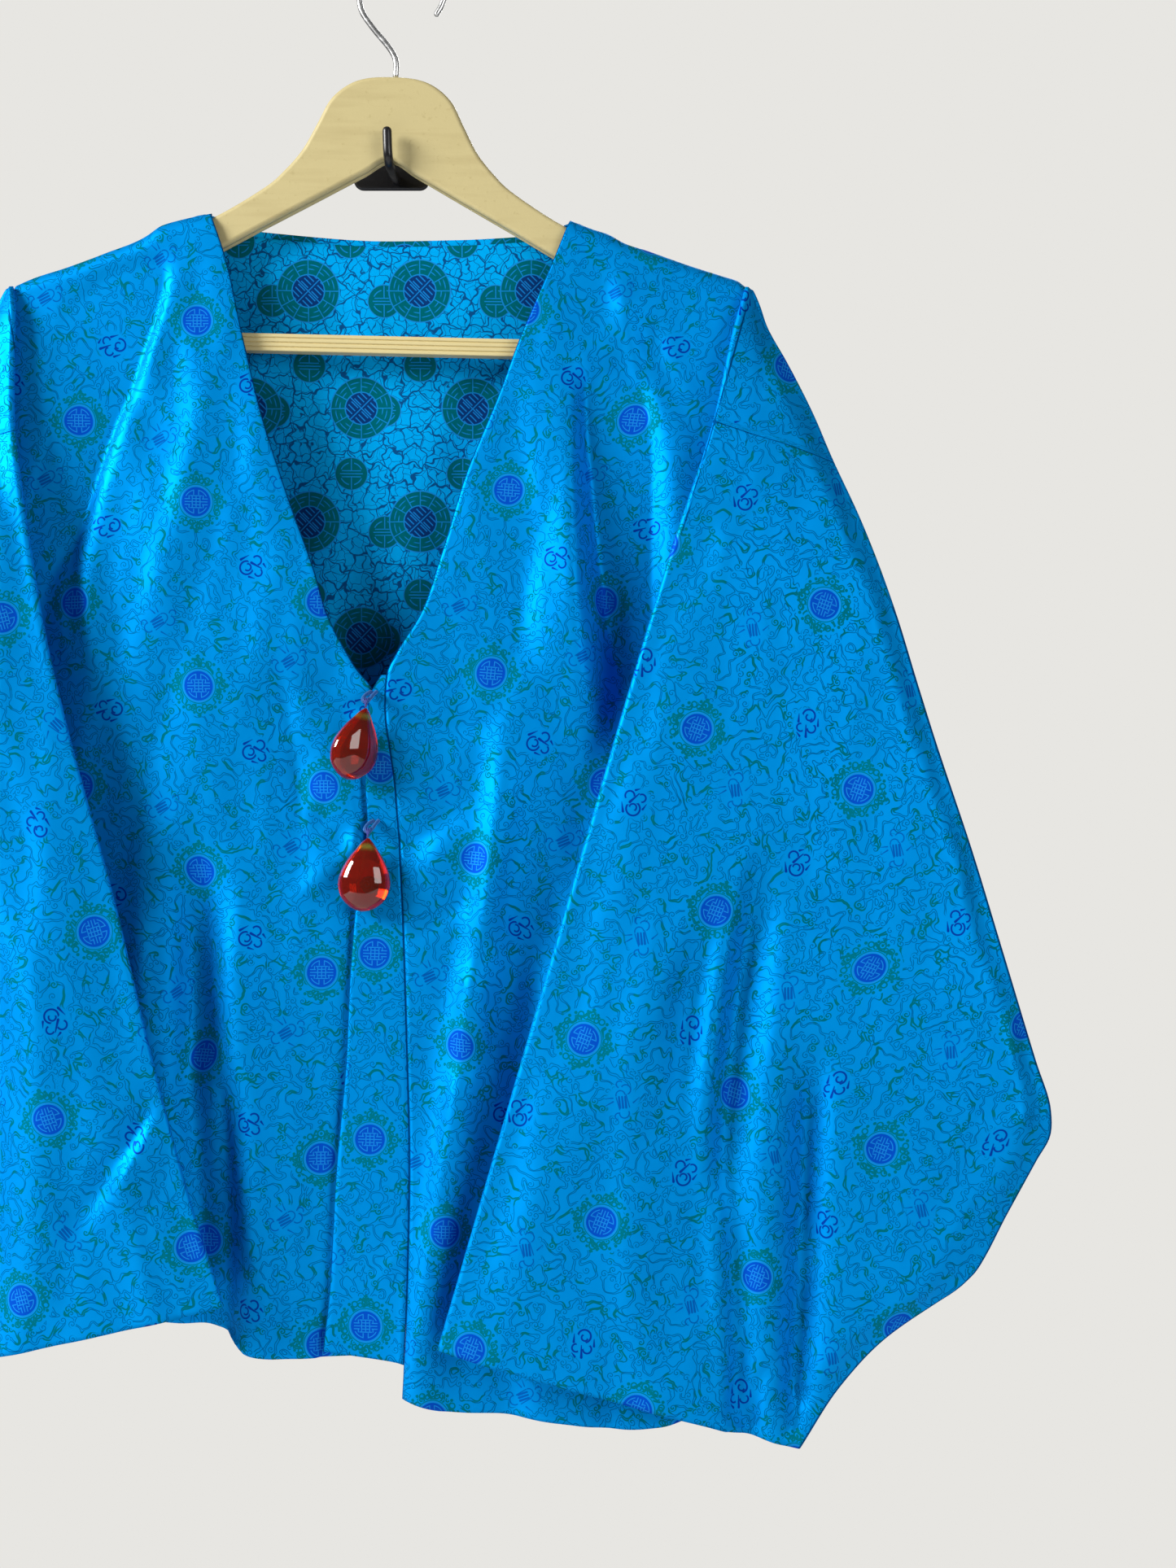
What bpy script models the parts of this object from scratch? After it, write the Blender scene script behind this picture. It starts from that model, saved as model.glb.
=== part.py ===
# Wide-sleeved jacket of lined brocade (magoja), open at a V neck, on a flat hanger on a wall hook.
# Metres, +Z up. The front faces -Y, and the wearer's left is at +X.
# The origin is the middle of the wall plate's back face.
# Tables of the cloth are in millimetres, in the garment's own frame, measured from a point level with the
# neck: x across, y depth (0 at the wall), z height.

import math
from collections import namedtuple

import bmesh
import bpy
import numpy as np
from mathutils import Matrix, Vector

# The garment's frame from the origin.
GARMENT_AT = Vector((0.0065, 0.0, -0.0370))

# Cloth, in millimetres.
CLOTH_WALL = 1.6
LINING_WALL = 1.0
SEAM_GAP = 0.3
SHOULDER_ROUND = 9.0
SHOULDER_DEPTH = -36.0
SHOULDER_TIP_LEFT = (194.5, -49.5)
SHOULDER_TIP_RIGHT = (-212.5, -49.0)
ARMHOLE_DROP = 280.5
ARMHOLE_SPREAD = 20.4
SIDE_DEPTH_FRONT = -41.9
SIDE_DEPTH_BACK = -38.1
SIDE_BLEND = 85.0
LAP_STEP = 2.6
HANGER_CLEAR = 2.3

# Sleeves, in millimetres. Each hangs in front of the body, folded over its own bias line.
SLEEVE_LENGTH_LEFT = 604.3
SLEEVE_LENGTH_RIGHT = 571.7
SLEEVE_LEAN_LEFT = math.radians(16.17)
SLEEVE_LEAN_RIGHT = math.radians(12.6)
WIDEST_DOWN = 405.0
FOLD_EDGE = 2.3
FOLD_RADIUS = 2.6
SEAM_OVER_SLEEVE = 0.315

# Hanger, in millimetres.
HANGER_MIDDLE = -3.9
HANGER_THICK = 11.0
HANGER_BEVEL = 2.4
HANGER_TILT = math.radians(1.35)
HANGER_APEX = 20.5
BAR_TOP = -77.4
BAR_BOTTOM = -87.6
BAR_THICK = 8.0
BAR_GROOVE = 0.9
BAR_HALF_LENGTH = 160.0
WIRE_RADIUS = 1.6

# Wall hook, in millimetres.
PLATE_WIDTH = 44.0
PLATE_HEIGHT = 44.0
PLATE_THICK = 3.0
PLATE_CORNER = 6.0
PEG_RADIUS = 2.6

# Buttons, in millimetres.
BUTTON_HEIGHT = 40.0
BUTTON_WIDTH = 28.5
BUTTON_THICK = 16.0
BUTTON_CLEAR = 1.6
THREAD_RADIUS = 0.55
LOOP_RADIUS = 1.0

Edge = namedtuple("Edge", "z x")
Line = namedtuple("Line", "x z")
Row = namedtuple("Row", "armhole side collar")
Sleeve = namedtuple("Sleeve", "down depth")
Shift = namedtuple("Shift", "down out")
Depth = namedtuple("Depth", "down fold outer half")
Armhole = namedtuple("Armhole", "step front back")
Crease = namedtuple("Crease", "x0 z0 xm zm x1 z1 width rise fade_in fade_out")
Turned = namedtuple("Turned", "down half_width")
Paint = namedtuple("Paint", "colour roughness metallic")

# Front edge of each front: the V neck down to its point, then the edge under or beside the placket.
FRONT_LEFT_EDGE = (
    Edge(-12.5, 97.0),
    Edge(-35.0, 88.0),
    Edge(-83.0, 67.8),
    Edge(-114.0, 56.5),
    Edge(-155.5, 39.9),
    Edge(-203.0, 25.5),
    Edge(-236.0, 14.0),
    Edge(-254.0, 3.0),
    Edge(-266.0, -3.0),
    Edge(-280.0, -4.2),
    Edge(-330.0, 1.2),
    Edge(-400.0, 5.6),
    Edge(-464.0, 7.8),
    Edge(-540.0, 9.4),
    Edge(-610.0, 8.2),
    Edge(-662.0, 5.6),
)
FRONT_RIGHT_EDGE = (
    Edge(-8.5, -103.7),
    Edge(-32.0, -95.6),
    Edge(-81.0, -84.3),
    Edge(-122.0, -74.0),
    Edge(-168.0, -59.1),
    Edge(-213.0, -42.9),
    Edge(-234.0, -36.6),
    Edge(-254.0, -26.7),
    Edge(-265.0, -20.0),
    Edge(-275.0, -11.5),
    Edge(-290.0, -6.5),
    Edge(-350.0, -4.0),
    Edge(-450.0, -7.0),
    Edge(-640.0, -14.0),
)
# Free edge of the placket strip, which laps over the right front.
OPENING_EDGE = (
    Edge(-268.0, -6.5),
    Edge(-279.0, -13.0),
    Edge(-328.0, -15.3),
    Edge(-350.0, -14.2),
    Edge(-398.0, -20.6),
    Edge(-433.0, -23.3),
    Edge(-480.0, -25.5),
    Edge(-534.0, -30.4),
    Edge(-612.0, -34.8),
    Edge(-643.0, -37.8),
)

# Shoulder line over the hanger, from the neck to the shoulder tip.
SHOULDER_LEFT = (
    Line(97.0, -12.5),
    Line(109.0, -17.2),
    Line(119.0, -20.6),
    Line(126.0, -24.6),
    Line(140.0, -29.4),
    Line(165.0, -38.2),
    Line(182.0, -43.6),
    Line(190.5, -46.4),
    Line(194.5, -49.5),
)
SHOULDER_RIGHT = (
    Line(-103.7, -8.5),
    Line(-121.0, -12.2),
    Line(-132.0, -15.6),
    Line(-139.0, -20.6),
    Line(-163.0, -30.8),
    Line(-184.0, -38.6),
    Line(-205.0, -45.6),
    Line(-212.5, -49.0),
)
BACK_NECK = (
    Line(-103.7, -8.5),
    Line(-90.0, -14.2),
    Line(-57.0, -18.0),
    Line(-15.0, -21.1),
    Line(38.0, -20.4),
    Line(80.0, -17.6),
    Line(97.0, -12.5),
)

# Hems, from the placket out to the side seam.
HEM_LEFT = (
    Line(5.6, -662.0),
    Line(25.0, -669.0),
    Line(60.0, -672.5),
    Line(95.0, -677.5),
    Line(122.0, -680.5),
    Line(146.0, -678.5),
    Line(185.0, -668.0),
    Line(222.0, -654.0),
)
HEM_RIGHT = (
    Line(-14.0, -640.0),
    Line(-40.0, -641.0),
    Line(-65.0, -641.5),
    Line(-80.0, -638.5),
    Line(-92.0, -627.0),
    Line(-120.0, -622.0),
    Line(-170.0, -618.0),
    Line(-235.0, -612.0),
)
HEM_PLACKET = (Line(-37.8, -637.0), Line(7.0, -643.5))
HEM_BACK = (
    Line(-235.0, -612.0),
    Line(-120.0, -628.0),
    Line(0.0, -634.0),
    Line(120.0, -640.0),
    Line(222.0, -654.0),
)
SIDE_BOTTOM_LEFT = 222.0
SIDE_BOTTOM_RIGHT = -235.0

# Rows of the fronts and the back: how far down the armhole, then down the side seam, and how far down the
# front edge from the neck.
BODY_ROWS = (
    Row(0.0, 0.0, 0.0),
    Row(0.005, 0.0, 1.2),
    Row(0.014, 0.0, 3.4),
    Row(0.03, 0.0, 9.0),
    Row(0.06, 0.0, 18.0),
    Row(0.15, 0.0, 42.0),
    Row(0.315, 0.0, 86.0),
    Row(0.46, 0.0, 127.0),
    Row(0.62, 0.0, 168.0),
    Row(0.81, 0.0, 212.0),
    Row(1.0, 0.0, 253.0),
    Row(1.0, 0.12, 295.0),
    Row(1.0, 0.26, 345.0),
    Row(1.0, 0.41, 400.0),
    Row(1.0, 0.56, 460.0),
    Row(1.0, 0.71, 522.0),
    Row(1.0, 0.86, 588.0),
    Row(1.0, 1.0, 0.0),
)
STRIP_ROWS = 4
BLADE_ROWS = 9
FRONT_COLUMNS = 18
BACK_COLUMNS = 23

# Depth of the cloth's outer face along the armhole, for the front and the back, by how far down it is.
ARMHOLE_DEPTHS = (
    Armhole(0.0, -44.0, -27.0),
    Armhole(0.06, -44.6, -26.4),
    Armhole(0.15, -47.0, -25.0),
    Armhole(0.315, -50.5, -24.0),
    Armhole(0.46, -51.5, -23.5),
    Armhole(0.62, -50.5, -24.5),
    Armhole(0.81, -47.0, -30.0),
    Armhole(1.0, SIDE_DEPTH_FRONT, SIDE_DEPTH_BACK),
)

# Left sleeve's outer edge, by how far down the sleeve it is: the bias fold above, the underarm seam below.
SLEEVE_OUTLINE = (
    Sleeve(0.0, 3.0),
    Sleeve(8.0, 10.0),
    Sleeve(20.0, 18.5),
    Sleeve(35.0, 33.5),
    Sleeve(58.6, 55.3),
    Sleeve(81.0, 73.3),
    Sleeve(108.0, 96.3),
    Sleeve(132.0, 114.7),
    Sleeve(155.0, 130.8),
    Sleeve(187.5, 151.6),
    Sleeve(212.0, 167.5),
    Sleeve(270.0, 206.7),
    Sleeve(315.0, 235.5),
    Sleeve(369.0, 270.0),
    Sleeve(391.0, 284.3),
    Sleeve(405.0, 288.0),
    Sleeve(420.0, 284.5),
    Sleeve(452.0, 277.0),
    Sleeve(487.0, 269.0),
    Sleeve(500.0, 261.0),
    Sleeve(508.5, 253.5),
    Sleeve(536.0, 231.0),
    Sleeve(565.6, 215.6),
    Sleeve(604.3, 203.5),
)
# How far the top fold of each sleeve strays outward from a straight line.
FOLD_LEFT = (
    Shift(0.0, 0.0),
    Shift(25.0, 0.0),
    Shift(86.0, 3.5),
    Shift(153.0, 1.0),
    Shift(250.0, 0.0),
    Shift(605.0, 0.0),
)
FOLD_RIGHT = (
    Shift(0.0, 0.0),
    Shift(16.0, 0.5),
    Shift(37.0, 4.5),
    Shift(83.0, 12.5),
    Shift(147.0, 15.5),
    Shift(208.0, 17.0),
    Shift(253.0, 15.5),
    Shift(350.0, 10.0),
    Shift(432.0, 8.5),
    Shift(509.0, 5.4),
    Shift(572.0, 0.0),
)
# How far forward each sleeve's top fold and its outer edge hang, and half its thickness between them.
DEPTHS_LEFT = (
    Depth(0.0, -50.0, -39.0, 3.0),
    Depth(16.0, -54.5, -41.0, 4.5),
    Depth(39.0, -59.5, -43.0, 6.0),
    Depth(80.0, -67.0, -46.5, 7.5),
    Depth(117.0, -72.0, -50.0, 8.5),
    Depth(200.0, -79.0, -56.0, 9.0),
    Depth(300.0, -84.0, -62.0, 9.0),
    Depth(450.0, -88.0, -69.0, 9.5),
    Depth(605.0, -88.0, -74.0, 9.0),
)
DEPTHS_RIGHT = (
    Depth(0.0, -49.0, -39.0, 3.0),
    Depth(16.0, -52.5, -41.0, 4.0),
    Depth(39.0, -55.5, -43.0, 5.0),
    Depth(80.0, -62.0, -46.5, 7.0),
    Depth(117.0, -69.0, -50.0, 8.5),
    Depth(200.0, -78.0, -56.0, 9.0),
    Depth(300.0, -84.0, -62.0, 9.0),
    Depth(430.0, -88.0, -69.0, 9.5),
    Depth(572.0, -88.0, -74.0, 9.0),
)
SLEEVE_RINGS_BELOW = (281, 305, 335, 368, 389, 405, 430, 458, 487, 506, 528, 556, 582)
SLEEVE_FRONT_POINTS = 18
SLEEVE_INNER_POINTS = 6
SLEEVE_OUTER_POINTS = 4

# Largest folds, each a bent line on the cloth. A rise above 0 stands out, one below 0 is a trough.
CREASES_FRONT_LEFT = (
    Crease(102, -100, 104, -200, 120, -312, 13, -8.0, 1, 1),
    Crease(146, -40, 167, -75, 170, -150, 10, -4.5, 1, 1),
    Crease(140, -150, 142, -250, 150, -400, 16, 4.0, 1, 1),
    Crease(70, -235, 48, -420, 16, -660, 11, 6.0, 1, 0),
    Crease(92, -330, 76, -500, 60, -676, 15, -5.0, 1, 0),
)
CREASES_FRONT_RIGHT = (
    Crease(-130, -30, -174, -125, -184, -290, 14, -9.5, 1, 1),
    Crease(-146, -105, -170, -180, -158, -320, 10, 4.5, 1, 1),
    Crease(-112, -340, -110, -480, -104, -624, 9, -7.5, 1, 0),
    Crease(-92, -330, -78, -480, -74, -636, 10, 4.5, 1, 0),
    Crease(-64, -250, -54, -313, -46, -380, 11, -3.2, 1, 1),
    Crease(-160, -260, -158, -420, -165, -615, 16, -6.0, 1, 0),
)
CREASES_BACK = (
    Crease(-60, -60, -80, -300, -95, -630, 20, 5.0, 1, 0),
    Crease(62, -60, 78, -300, 90, -640, 20, 5.0, 1, 0),
    Crease(0, -120, 0, -360, -2, -634, 22, -4.0, 1, 0),
    Crease(150, -70, 168, -250, 160, -640, 17, -6.0, 1, 0),
    Crease(-160, -70, -176, -250, -170, -620, 17, -6.0, 1, 0),
    Crease(118, -60, 124, -300, 126, -640, 14, 3.5, 1, 0),
    Crease(-128, -60, -134, -300, -134, -630, 14, 3.5, 1, 0),
)
CREASES_SLEEVE_LEFT = (
    Crease(80, 300, 90, 430, 160, 596, 11, -6.5, 1, 0),
    Crease(62, 290, 62, 440, 118, 596, 13, 4.5, 1, 0),
    Crease(150, 395, 168, 480, 192, 575, 9, -5.5, 1, 0),
    Crease(120, 330, 140, 460, 176, 590, 9, 3.5, 1, 0),
    Crease(175, 560, 172, 575, 174, 598, 4, -3.0, 1, 0),
    Crease(215, 300, 205, 380, 225, 470, 22, 3.0, 1, 1),
)
CREASES_SLEEVE_RIGHT = (
    Crease(4, 452, 40, 484, 76, 524, 7, -4.0, 0, 1),
    Crease(90, 300, 96, 430, 150, 572, 12, -6.0, 1, 0),
    Crease(66, 320, 70, 440, 112, 572, 13, 4.0, 1, 0),
    Crease(150, 380, 165, 470, 186, 560, 10, -5.0, 1, 0),
    Crease(205, 320, 200, 390, 220, 460, 22, 3.0, 1, 1),
)
# Folds behind each sleeve, between the armhole and the outer edge.
CREASES_SLEEVE_BEHIND = (
    Crease(110, 190, 130, 300, 150, 596, 14, 4.0, 1, 0),
    Crease(60, 260, 60, 420, 60, 596, 18, -3.0, 1, 0),
)

# One arm of the hanger, along its top and along its underside, from its middle to its tip.
HANGER_TOP = (
    Line(0.0, 67.0),
    Line(14.0, 66.0),
    Line(24.5, 62.0),
    Line(34.0, 53.5),
    Line(41.0, 40.0),
    Line(48.8, 25.5),
    Line(58.4, 13.8),
    Line(70.0, 3.4),
    Line(99.0, -14.4),
    Line(135.0, -29.5),
    Line(160.0, -41.0),
    Line(178.0, -48.5),
    Line(187.0, -55.0),
)
HANGER_LOW = (
    Line(0.0, HANGER_APEX),
    Line(14.0, 12.8),
    Line(24.5, 7.0),
    Line(41.0, -2.2),
    Line(58.4, -11.8),
    Line(70.0, -18.2),
    Line(100.0, -35.0),
    Line(135.0, -53.0),
    Line(160.3, -70.0),
    Line(160.3, -92.0),
    Line(177.0, -92.0),
    Line(187.0, -80.0),
)
WIRE_ROUTE = (
    (-2.1, 67.4),
    (-2.1, 77.0),
    (-6.0, 84.5),
    (-15.5, 95.5),
    (-22.4, 106.0),
)
WIRE_ARC_MIDDLE = (0.4, 118.0)
WIRE_ARC_RADIUS = 24.0
PEG_ROUTE = (
    (-3.6, -1.5, 20.5),
    (-3.6, -16.0, 18.6),
    (-3.7, -30.0, 17.1),
    (-3.8, -42.0, 17.1),
    (-4.0, -46.6, 19.4),
    (-4.3, -48.2, 24.0),
    (-4.6, -48.4, 34.0),
)

# Drop button, turned and flattened.
BUTTON_PROFILE = (
    Turned(0.0, 0.7),
    Turned(2.0, 2.6),
    Turned(6.0, 5.6),
    Turned(12.0, 9.9),
    Turned(18.0, 12.8),
    Turned(24.5, 14.25),
    Turned(31.0, 13.0),
    Turned(36.0, 9.2),
    Turned(39.2, 4.0),
    Turned(40.0, 0.8),
)
Button = namedtuple("Button", "name x z tilt")
BUTTONS = (
    Button("upper", -13.6, -286.5, math.radians(15.0)),
    Button("lower", -12.6, -357.0, math.radians(5.0)),
)

PAINTS = {
    "brocade": Paint((0.004, 0.27, 0.72), 0.42, 0.0),
    "lining": Paint((0.003, 0.20, 0.55), 0.45, 0.0),
    "hanger": Paint((0.72, 0.60, 0.36), 0.35, 0.0),
    "wire": Paint((0.60, 0.60, 0.60), 0.25, 1.0),
    "hook": Paint((0.01, 0.01, 0.012), 0.35, 0.0),
    "amber": Paint((0.45, 0.05, 0.01), 0.08, 0.0),
    "thread": Paint((0.07, 0.09, 0.35), 0.7, 0.0),
}


def clear_scene():
    for old in list(bpy.data.objects):
        bpy.data.objects.remove(old, do_unlink=True)


def material(name):
    found = bpy.data.materials.get(name)
    if found:
        return found
    paint = PAINTS[name]
    made = bpy.data.materials.new(name)
    made.use_nodes = True
    shader = made.node_tree.nodes["Principled BSDF"]
    shader.inputs["Base Color"].default_value = (*paint.colour, 1.0)
    shader.inputs["Roughness"].default_value = paint.roughness
    shader.inputs["Metallic"].default_value = paint.metallic
    return made


def place(name, mesh, paint, smooth=True):
    """Puts a mesh in the scene. Its points are in millimetres, in the garment's frame."""
    mesh.transform(Matrix.Scale(0.001, 4))
    mesh.materials.append(material(paint))
    if smooth:
        mesh.shade_smooth()
    made = bpy.data.objects.new(name, mesh)
    made.location = GARMENT_AT
    bpy.context.scene.collection.objects.link(made)
    return made


def mesh_of(name, points, faces):
    mesh = bpy.data.meshes.new(name)
    mesh.from_pydata([tuple(point) for point in points], [], faces)
    mesh.validate()
    form = bmesh.new()
    form.from_mesh(mesh)
    bmesh.ops.recalc_face_normals(form, faces=form.faces)
    form.to_mesh(mesh)
    form.free()
    return mesh


def ease(value):
    """Smooth step from 0 to 1."""
    value = np.clip(value, 0.0, 1.0)
    return value * value * (3.0 - 2.0 * value)


def read(rows, given, wanted, at):
    """Reads one column of a table, eased between its rows, where another column has this value."""
    keys = np.array([getattr(row, given) for row in rows], float)
    values = np.array([getattr(row, wanted) for row in rows], float)
    if keys[0] > keys[-1]:
        keys, values = keys[::-1], values[::-1]
    slopes = np.gradient(values, keys)
    at = np.clip(np.asarray(at, float), keys[0], keys[-1])
    left = np.clip(np.searchsorted(keys, at, side="right") - 1, 0, len(keys) - 2)
    step = keys[left + 1] - keys[left]
    part = (at - keys[left]) / step
    flat = (values[left + 1] - values[left]) / step
    limit = 1.5 * np.abs(flat)
    start = np.clip(slopes[left], -limit, limit)
    end = np.clip(slopes[left + 1], -limit, limit)
    square, cube = part**2, part**3
    return (
        values[left] * (2 * cube - 3 * square + 1)
        + step * start * (cube - 2 * square + part)
        + values[left + 1] * (3 * square - 2 * cube)
        + step * end * (cube - square)
    )


def relief(across, down, creases):
    """How far the folds lift the cloth out, at points of it."""
    total = np.zeros(np.broadcast(across, down).shape)
    steps = np.linspace(0.0, 1.0, 25)
    for fold in creases:
        bend_x = 2 * fold.xm - (fold.x0 + fold.x1) / 2
        bend_z = 2 * fold.zm - (fold.z0 + fold.z1) / 2
        line_x = (1 - steps) ** 2 * fold.x0 + 2 * steps * (1 - steps) * bend_x + steps**2 * fold.x1
        line_z = (1 - steps) ** 2 * fold.z0 + 2 * steps * (1 - steps) * bend_z + steps**2 * fold.z1
        apart = (across[..., None] - line_x) ** 2 + (down[..., None] - line_z) ** 2
        nearest = apart.argmin(axis=-1)
        part = steps[nearest]
        strength = np.ones_like(part)
        if fold.fade_in:
            strength = strength * ease(part / 0.35)
        if fold.fade_out:
            strength = strength * ease((1 - part) / 0.35)
        total = total + fold.rise * strength * np.exp(-apart.min(axis=-1) / fold.width**2)
    return total


def armhole_point(side, step):
    """The armhole's line from the shoulder tip down to the underarm, seen from the front."""
    tip = SHOULDER_TIP_LEFT if side > 0 else SHOULDER_TIP_RIGHT
    return tip[0] + side * ARMHOLE_SPREAD * step, tip[1] - ARMHOLE_DROP * step


def outer_edge(side, row):
    """Where a row of the body ends: on the armhole or on the side seam."""
    x, z = armhole_point(side, row.armhole)
    bottom_x = SIDE_BOTTOM_LEFT if side > 0 else SIDE_BOTTOM_RIGHT
    hem = HEM_LEFT if side > 0 else HEM_RIGHT
    bottom_z = read(hem, "x", "z", bottom_x)
    return x + (bottom_x - x) * row.side, z + (bottom_z - z) * row.side


def edge_depth(row, face):
    """Depth of the outer face where a row ends."""
    return float(read(ARMHOLE_DEPTHS, "step", face, row.armhole))


def over_shoulder(drop):
    """How far the cloth has come forward, or back, as it turns over the hanger."""
    left = SHOULDER_ROUND - np.clip(drop, 0.0, SHOULDER_ROUND)
    return np.sqrt(np.maximum(SHOULDER_ROUND**2 - left**2, 0.0))


def front_depth(side, x, drop):
    """Outer face of the fronts before folds, by the drop from the shoulder. The right one laps under."""
    chest = 15.0 * ease((drop - 6.0) / 260.0) + 4.0 * ease((drop - 240.0) / 260.0)
    middle = 2.0 * ease((drop - 120.0) / 200.0) * np.exp(-((x / 90.0) ** 2))
    lap = LAP_STEP * ease((x + 75.0) / 50.0) * ease((drop - 150.0) / 90.0) if side < 0 else 0.0
    return SHOULDER_DEPTH - SEAM_GAP / 2 - over_shoulder(drop) - chest - middle + lap


def back_depth(drop, turn):
    """Outer face of the back before folds. Turn is 1 over the hanger and 0 along the neck."""
    hang = 5.0 * ease(drop / 90.0) + 4.0 * ease((drop - 90.0) / 400.0)
    turned = over_shoulder(drop) * turn + (SHOULDER_ROUND + 1.5) * (1 - turn)
    return SHOULDER_DEPTH + SEAM_GAP / 2 + turned + hang


def front_grid(side, columns=FRONT_COLUMNS):
    """Outer face of one front, as rows from the shoulder to the hem of points from the front edge out."""
    edge = FRONT_LEFT_EDGE if side > 0 else FRONT_RIGHT_EDGE
    shoulder = SHOULDER_LEFT if side > 0 else SHOULDER_RIGHT
    hem = HEM_LEFT if side > 0 else HEM_RIGHT
    creases = CREASES_FRONT_LEFT if side > 0 else CREASES_FRONT_RIGHT
    across = np.linspace(0.0, 1.0, columns)
    grid = []
    for row in BODY_ROWS:
        last = row is BODY_ROWS[-1]
        inner_z = edge[-1].z if last else edge[0].z - row.collar
        inner_x = float(read(edge, "z", "x", inner_z))
        outer_x, outer_z = outer_edge(side, row)
        x = inner_x + (outer_x - inner_x) * across
        z = inner_z + (outer_z - inner_z) * across
        line_x = edge[0].x + (shoulder[-1].x - edge[0].x) * across
        line_z = edge[0].z + (shoulder[-1].z - edge[0].z) * across
        below = row.collar if not last else 700.0
        z = z + (read(shoulder, "x", "z", line_x) - line_z) * math.exp(-below / 60.0)
        hem_line = hem[0].z + (hem[-1].z - hem[0].z) * across
        near_hem = 1.0 if last else math.exp(-(1.0 - row.side) * 5.0) if row.side > 0 else 0.0
        z = z + (read(hem, "x", "z", x) - hem_line) * near_hem
        line = read(shoulder, "x", "z", x)
        drop = np.maximum(line - z, 0.0)
        drop = np.where(np.full(columns, row.collar == 0.0 and not last), 0.0, drop)
        y = front_depth(side, x, drop)
        y = y - relief(x, z, creases) * ease(drop / 40.0)
        before = SHOULDER_DEPTH - HANGER_THICK / 2 - HANGER_CLEAR
        y = np.where(drop > SHOULDER_ROUND, np.minimum(y, before), y)
        reach = SIDE_BLEND * (0.35 + 0.65 * min(1.0, row.armhole * 3.0))
        inward = ease(np.abs(outer_x - x) / reach)
        if row.armhole > 0.03:
            y = edge_depth(row, "front") + (y - edge_depth(row, "front")) * inward
        grid.append(np.stack([x, y, z], axis=1))
    return np.array(grid)


def back_grid(columns=BACK_COLUMNS):
    """Outer face of the back, as rows from the neck and shoulders to the hem, from right to left."""
    across = np.linspace(-1.0, 1.0, columns)
    shoulders = SHOULDER_RIGHT[::-1] + BACK_NECK[1:-1] + SHOULDER_LEFT
    grid = []
    for row in BODY_ROWS:
        last = row is BODY_ROWS[-1]
        right_x, right_z = outer_edge(-1, row)
        left_x, left_z = outer_edge(1, row)
        middle_x = (right_x + left_x) / 2
        x = middle_x + (left_x - right_x) / 2 * across
        line_x = SHOULDER_RIGHT[-1].x + (across + 1) / 2 * (SHOULDER_LEFT[-1].x - SHOULDER_RIGHT[-1].x)
        top = read(shoulders, "x", "z", line_x)
        bottom = read(HEM_BACK, "x", "z", x)
        side_z = right_z + (left_z - right_z) * (across + 1) / 2
        part = (row.armhole * ARMHOLE_DROP + row.side * (600.0 - ARMHOLE_DROP)) / 600.0
        middle_z = top + (bottom - top) * part
        weight = np.abs(across) ** 2
        z = middle_z + (side_z - middle_z) * weight
        if row.armhole <= 0.03:
            z = top - row.collar
            z[0], z[-1] = right_z, left_z
        if last:
            z = bottom
        drop = np.maximum(read(shoulders, "x", "z", x) - z, 0.0)
        if row.collar == 0.0 and not last:
            drop = np.zeros(columns)
        turn = ease((np.abs(x - HANGER_MIDDLE) - 93.0) / 12.0)
        y = back_depth(drop, turn)
        y = y + relief(x, z, CREASES_BACK) * ease(drop / 60.0)
        behind = SHOULDER_DEPTH + HANGER_THICK / 2 + HANGER_CLEAR
        y = np.where(drop > SHOULDER_ROUND, np.maximum(y, behind), y)
        outer = np.minimum(np.abs(x - right_x), np.abs(left_x - x))
        reach = SIDE_BLEND * (0.35 + 0.65 * min(1.0, row.armhole * 3.0))
        if row.armhole > 0.03:
            y = edge_depth(row, "back") + (y - edge_depth(row, "back")) * ease(outer / reach)
        grid.append(np.stack([x, y, z], axis=1))
    return np.array(grid)


def grid_normals(grid, facing):
    """Unit normals of a grid of points, turned to the side that faces this way."""
    down = np.gradient(grid, axis=0)
    across = np.gradient(grid, axis=1)
    normals = np.cross(down, across)
    normals /= np.linalg.norm(normals, axis=2, keepdims=True)
    if (normals @ np.array(facing)).mean() < 0:
        normals = -normals
    return normals


def sheet_mesh(name, outer, inner):
    """A wall between two grids of points that face each other, closed along its rim."""
    rows, columns = outer.shape[:2]
    count = rows * columns
    points = np.concatenate([outer.reshape(-1, 3), inner.reshape(-1, 3)])
    index = np.arange(count).reshape(rows, columns)
    faces = []
    for row in range(rows - 1):
        for column in range(columns - 1):
            a, b = index[row, column], index[row, column + 1]
            c, d = index[row + 1, column + 1], index[row + 1, column]
            faces.append((a, b, c, d))
            faces.append((a + count, d + count, c + count, b + count))
    rim = list(index[0, :-1]) + list(index[:-1, -1]) + list(index[-1, :0:-1]) + list(index[:0:-1, 0])
    for start, end in zip(rim, rim[1:] + rim[:1]):
        faces.append((start, start + count, end + count, end))
    return mesh_of(name, points, [tuple(int(corner) for corner in face) for face in faces])


def inner_face(grid, facing, wall, top_up=None, straight=()):
    """The inner face of a sheet whose outer face is this grid. Straight columns end square on a seam."""
    normals = grid_normals(grid, facing)
    for column in straight:
        normals[4:, column] = facing
        normals[1:4, column, 0] = 0.0
    normals /= np.linalg.norm(normals, axis=2, keepdims=True)
    if top_up is not None:
        normals[0] = top_up
    return grid - normals * wall


def panel(name, grid, facing, wall, paint, top_up=None, straight=()):
    """A sheet of cloth whose outer face is this grid."""
    return place(name, sheet_mesh(name, grid, inner_face(grid, facing, wall, top_up, straight)), paint)


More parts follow.
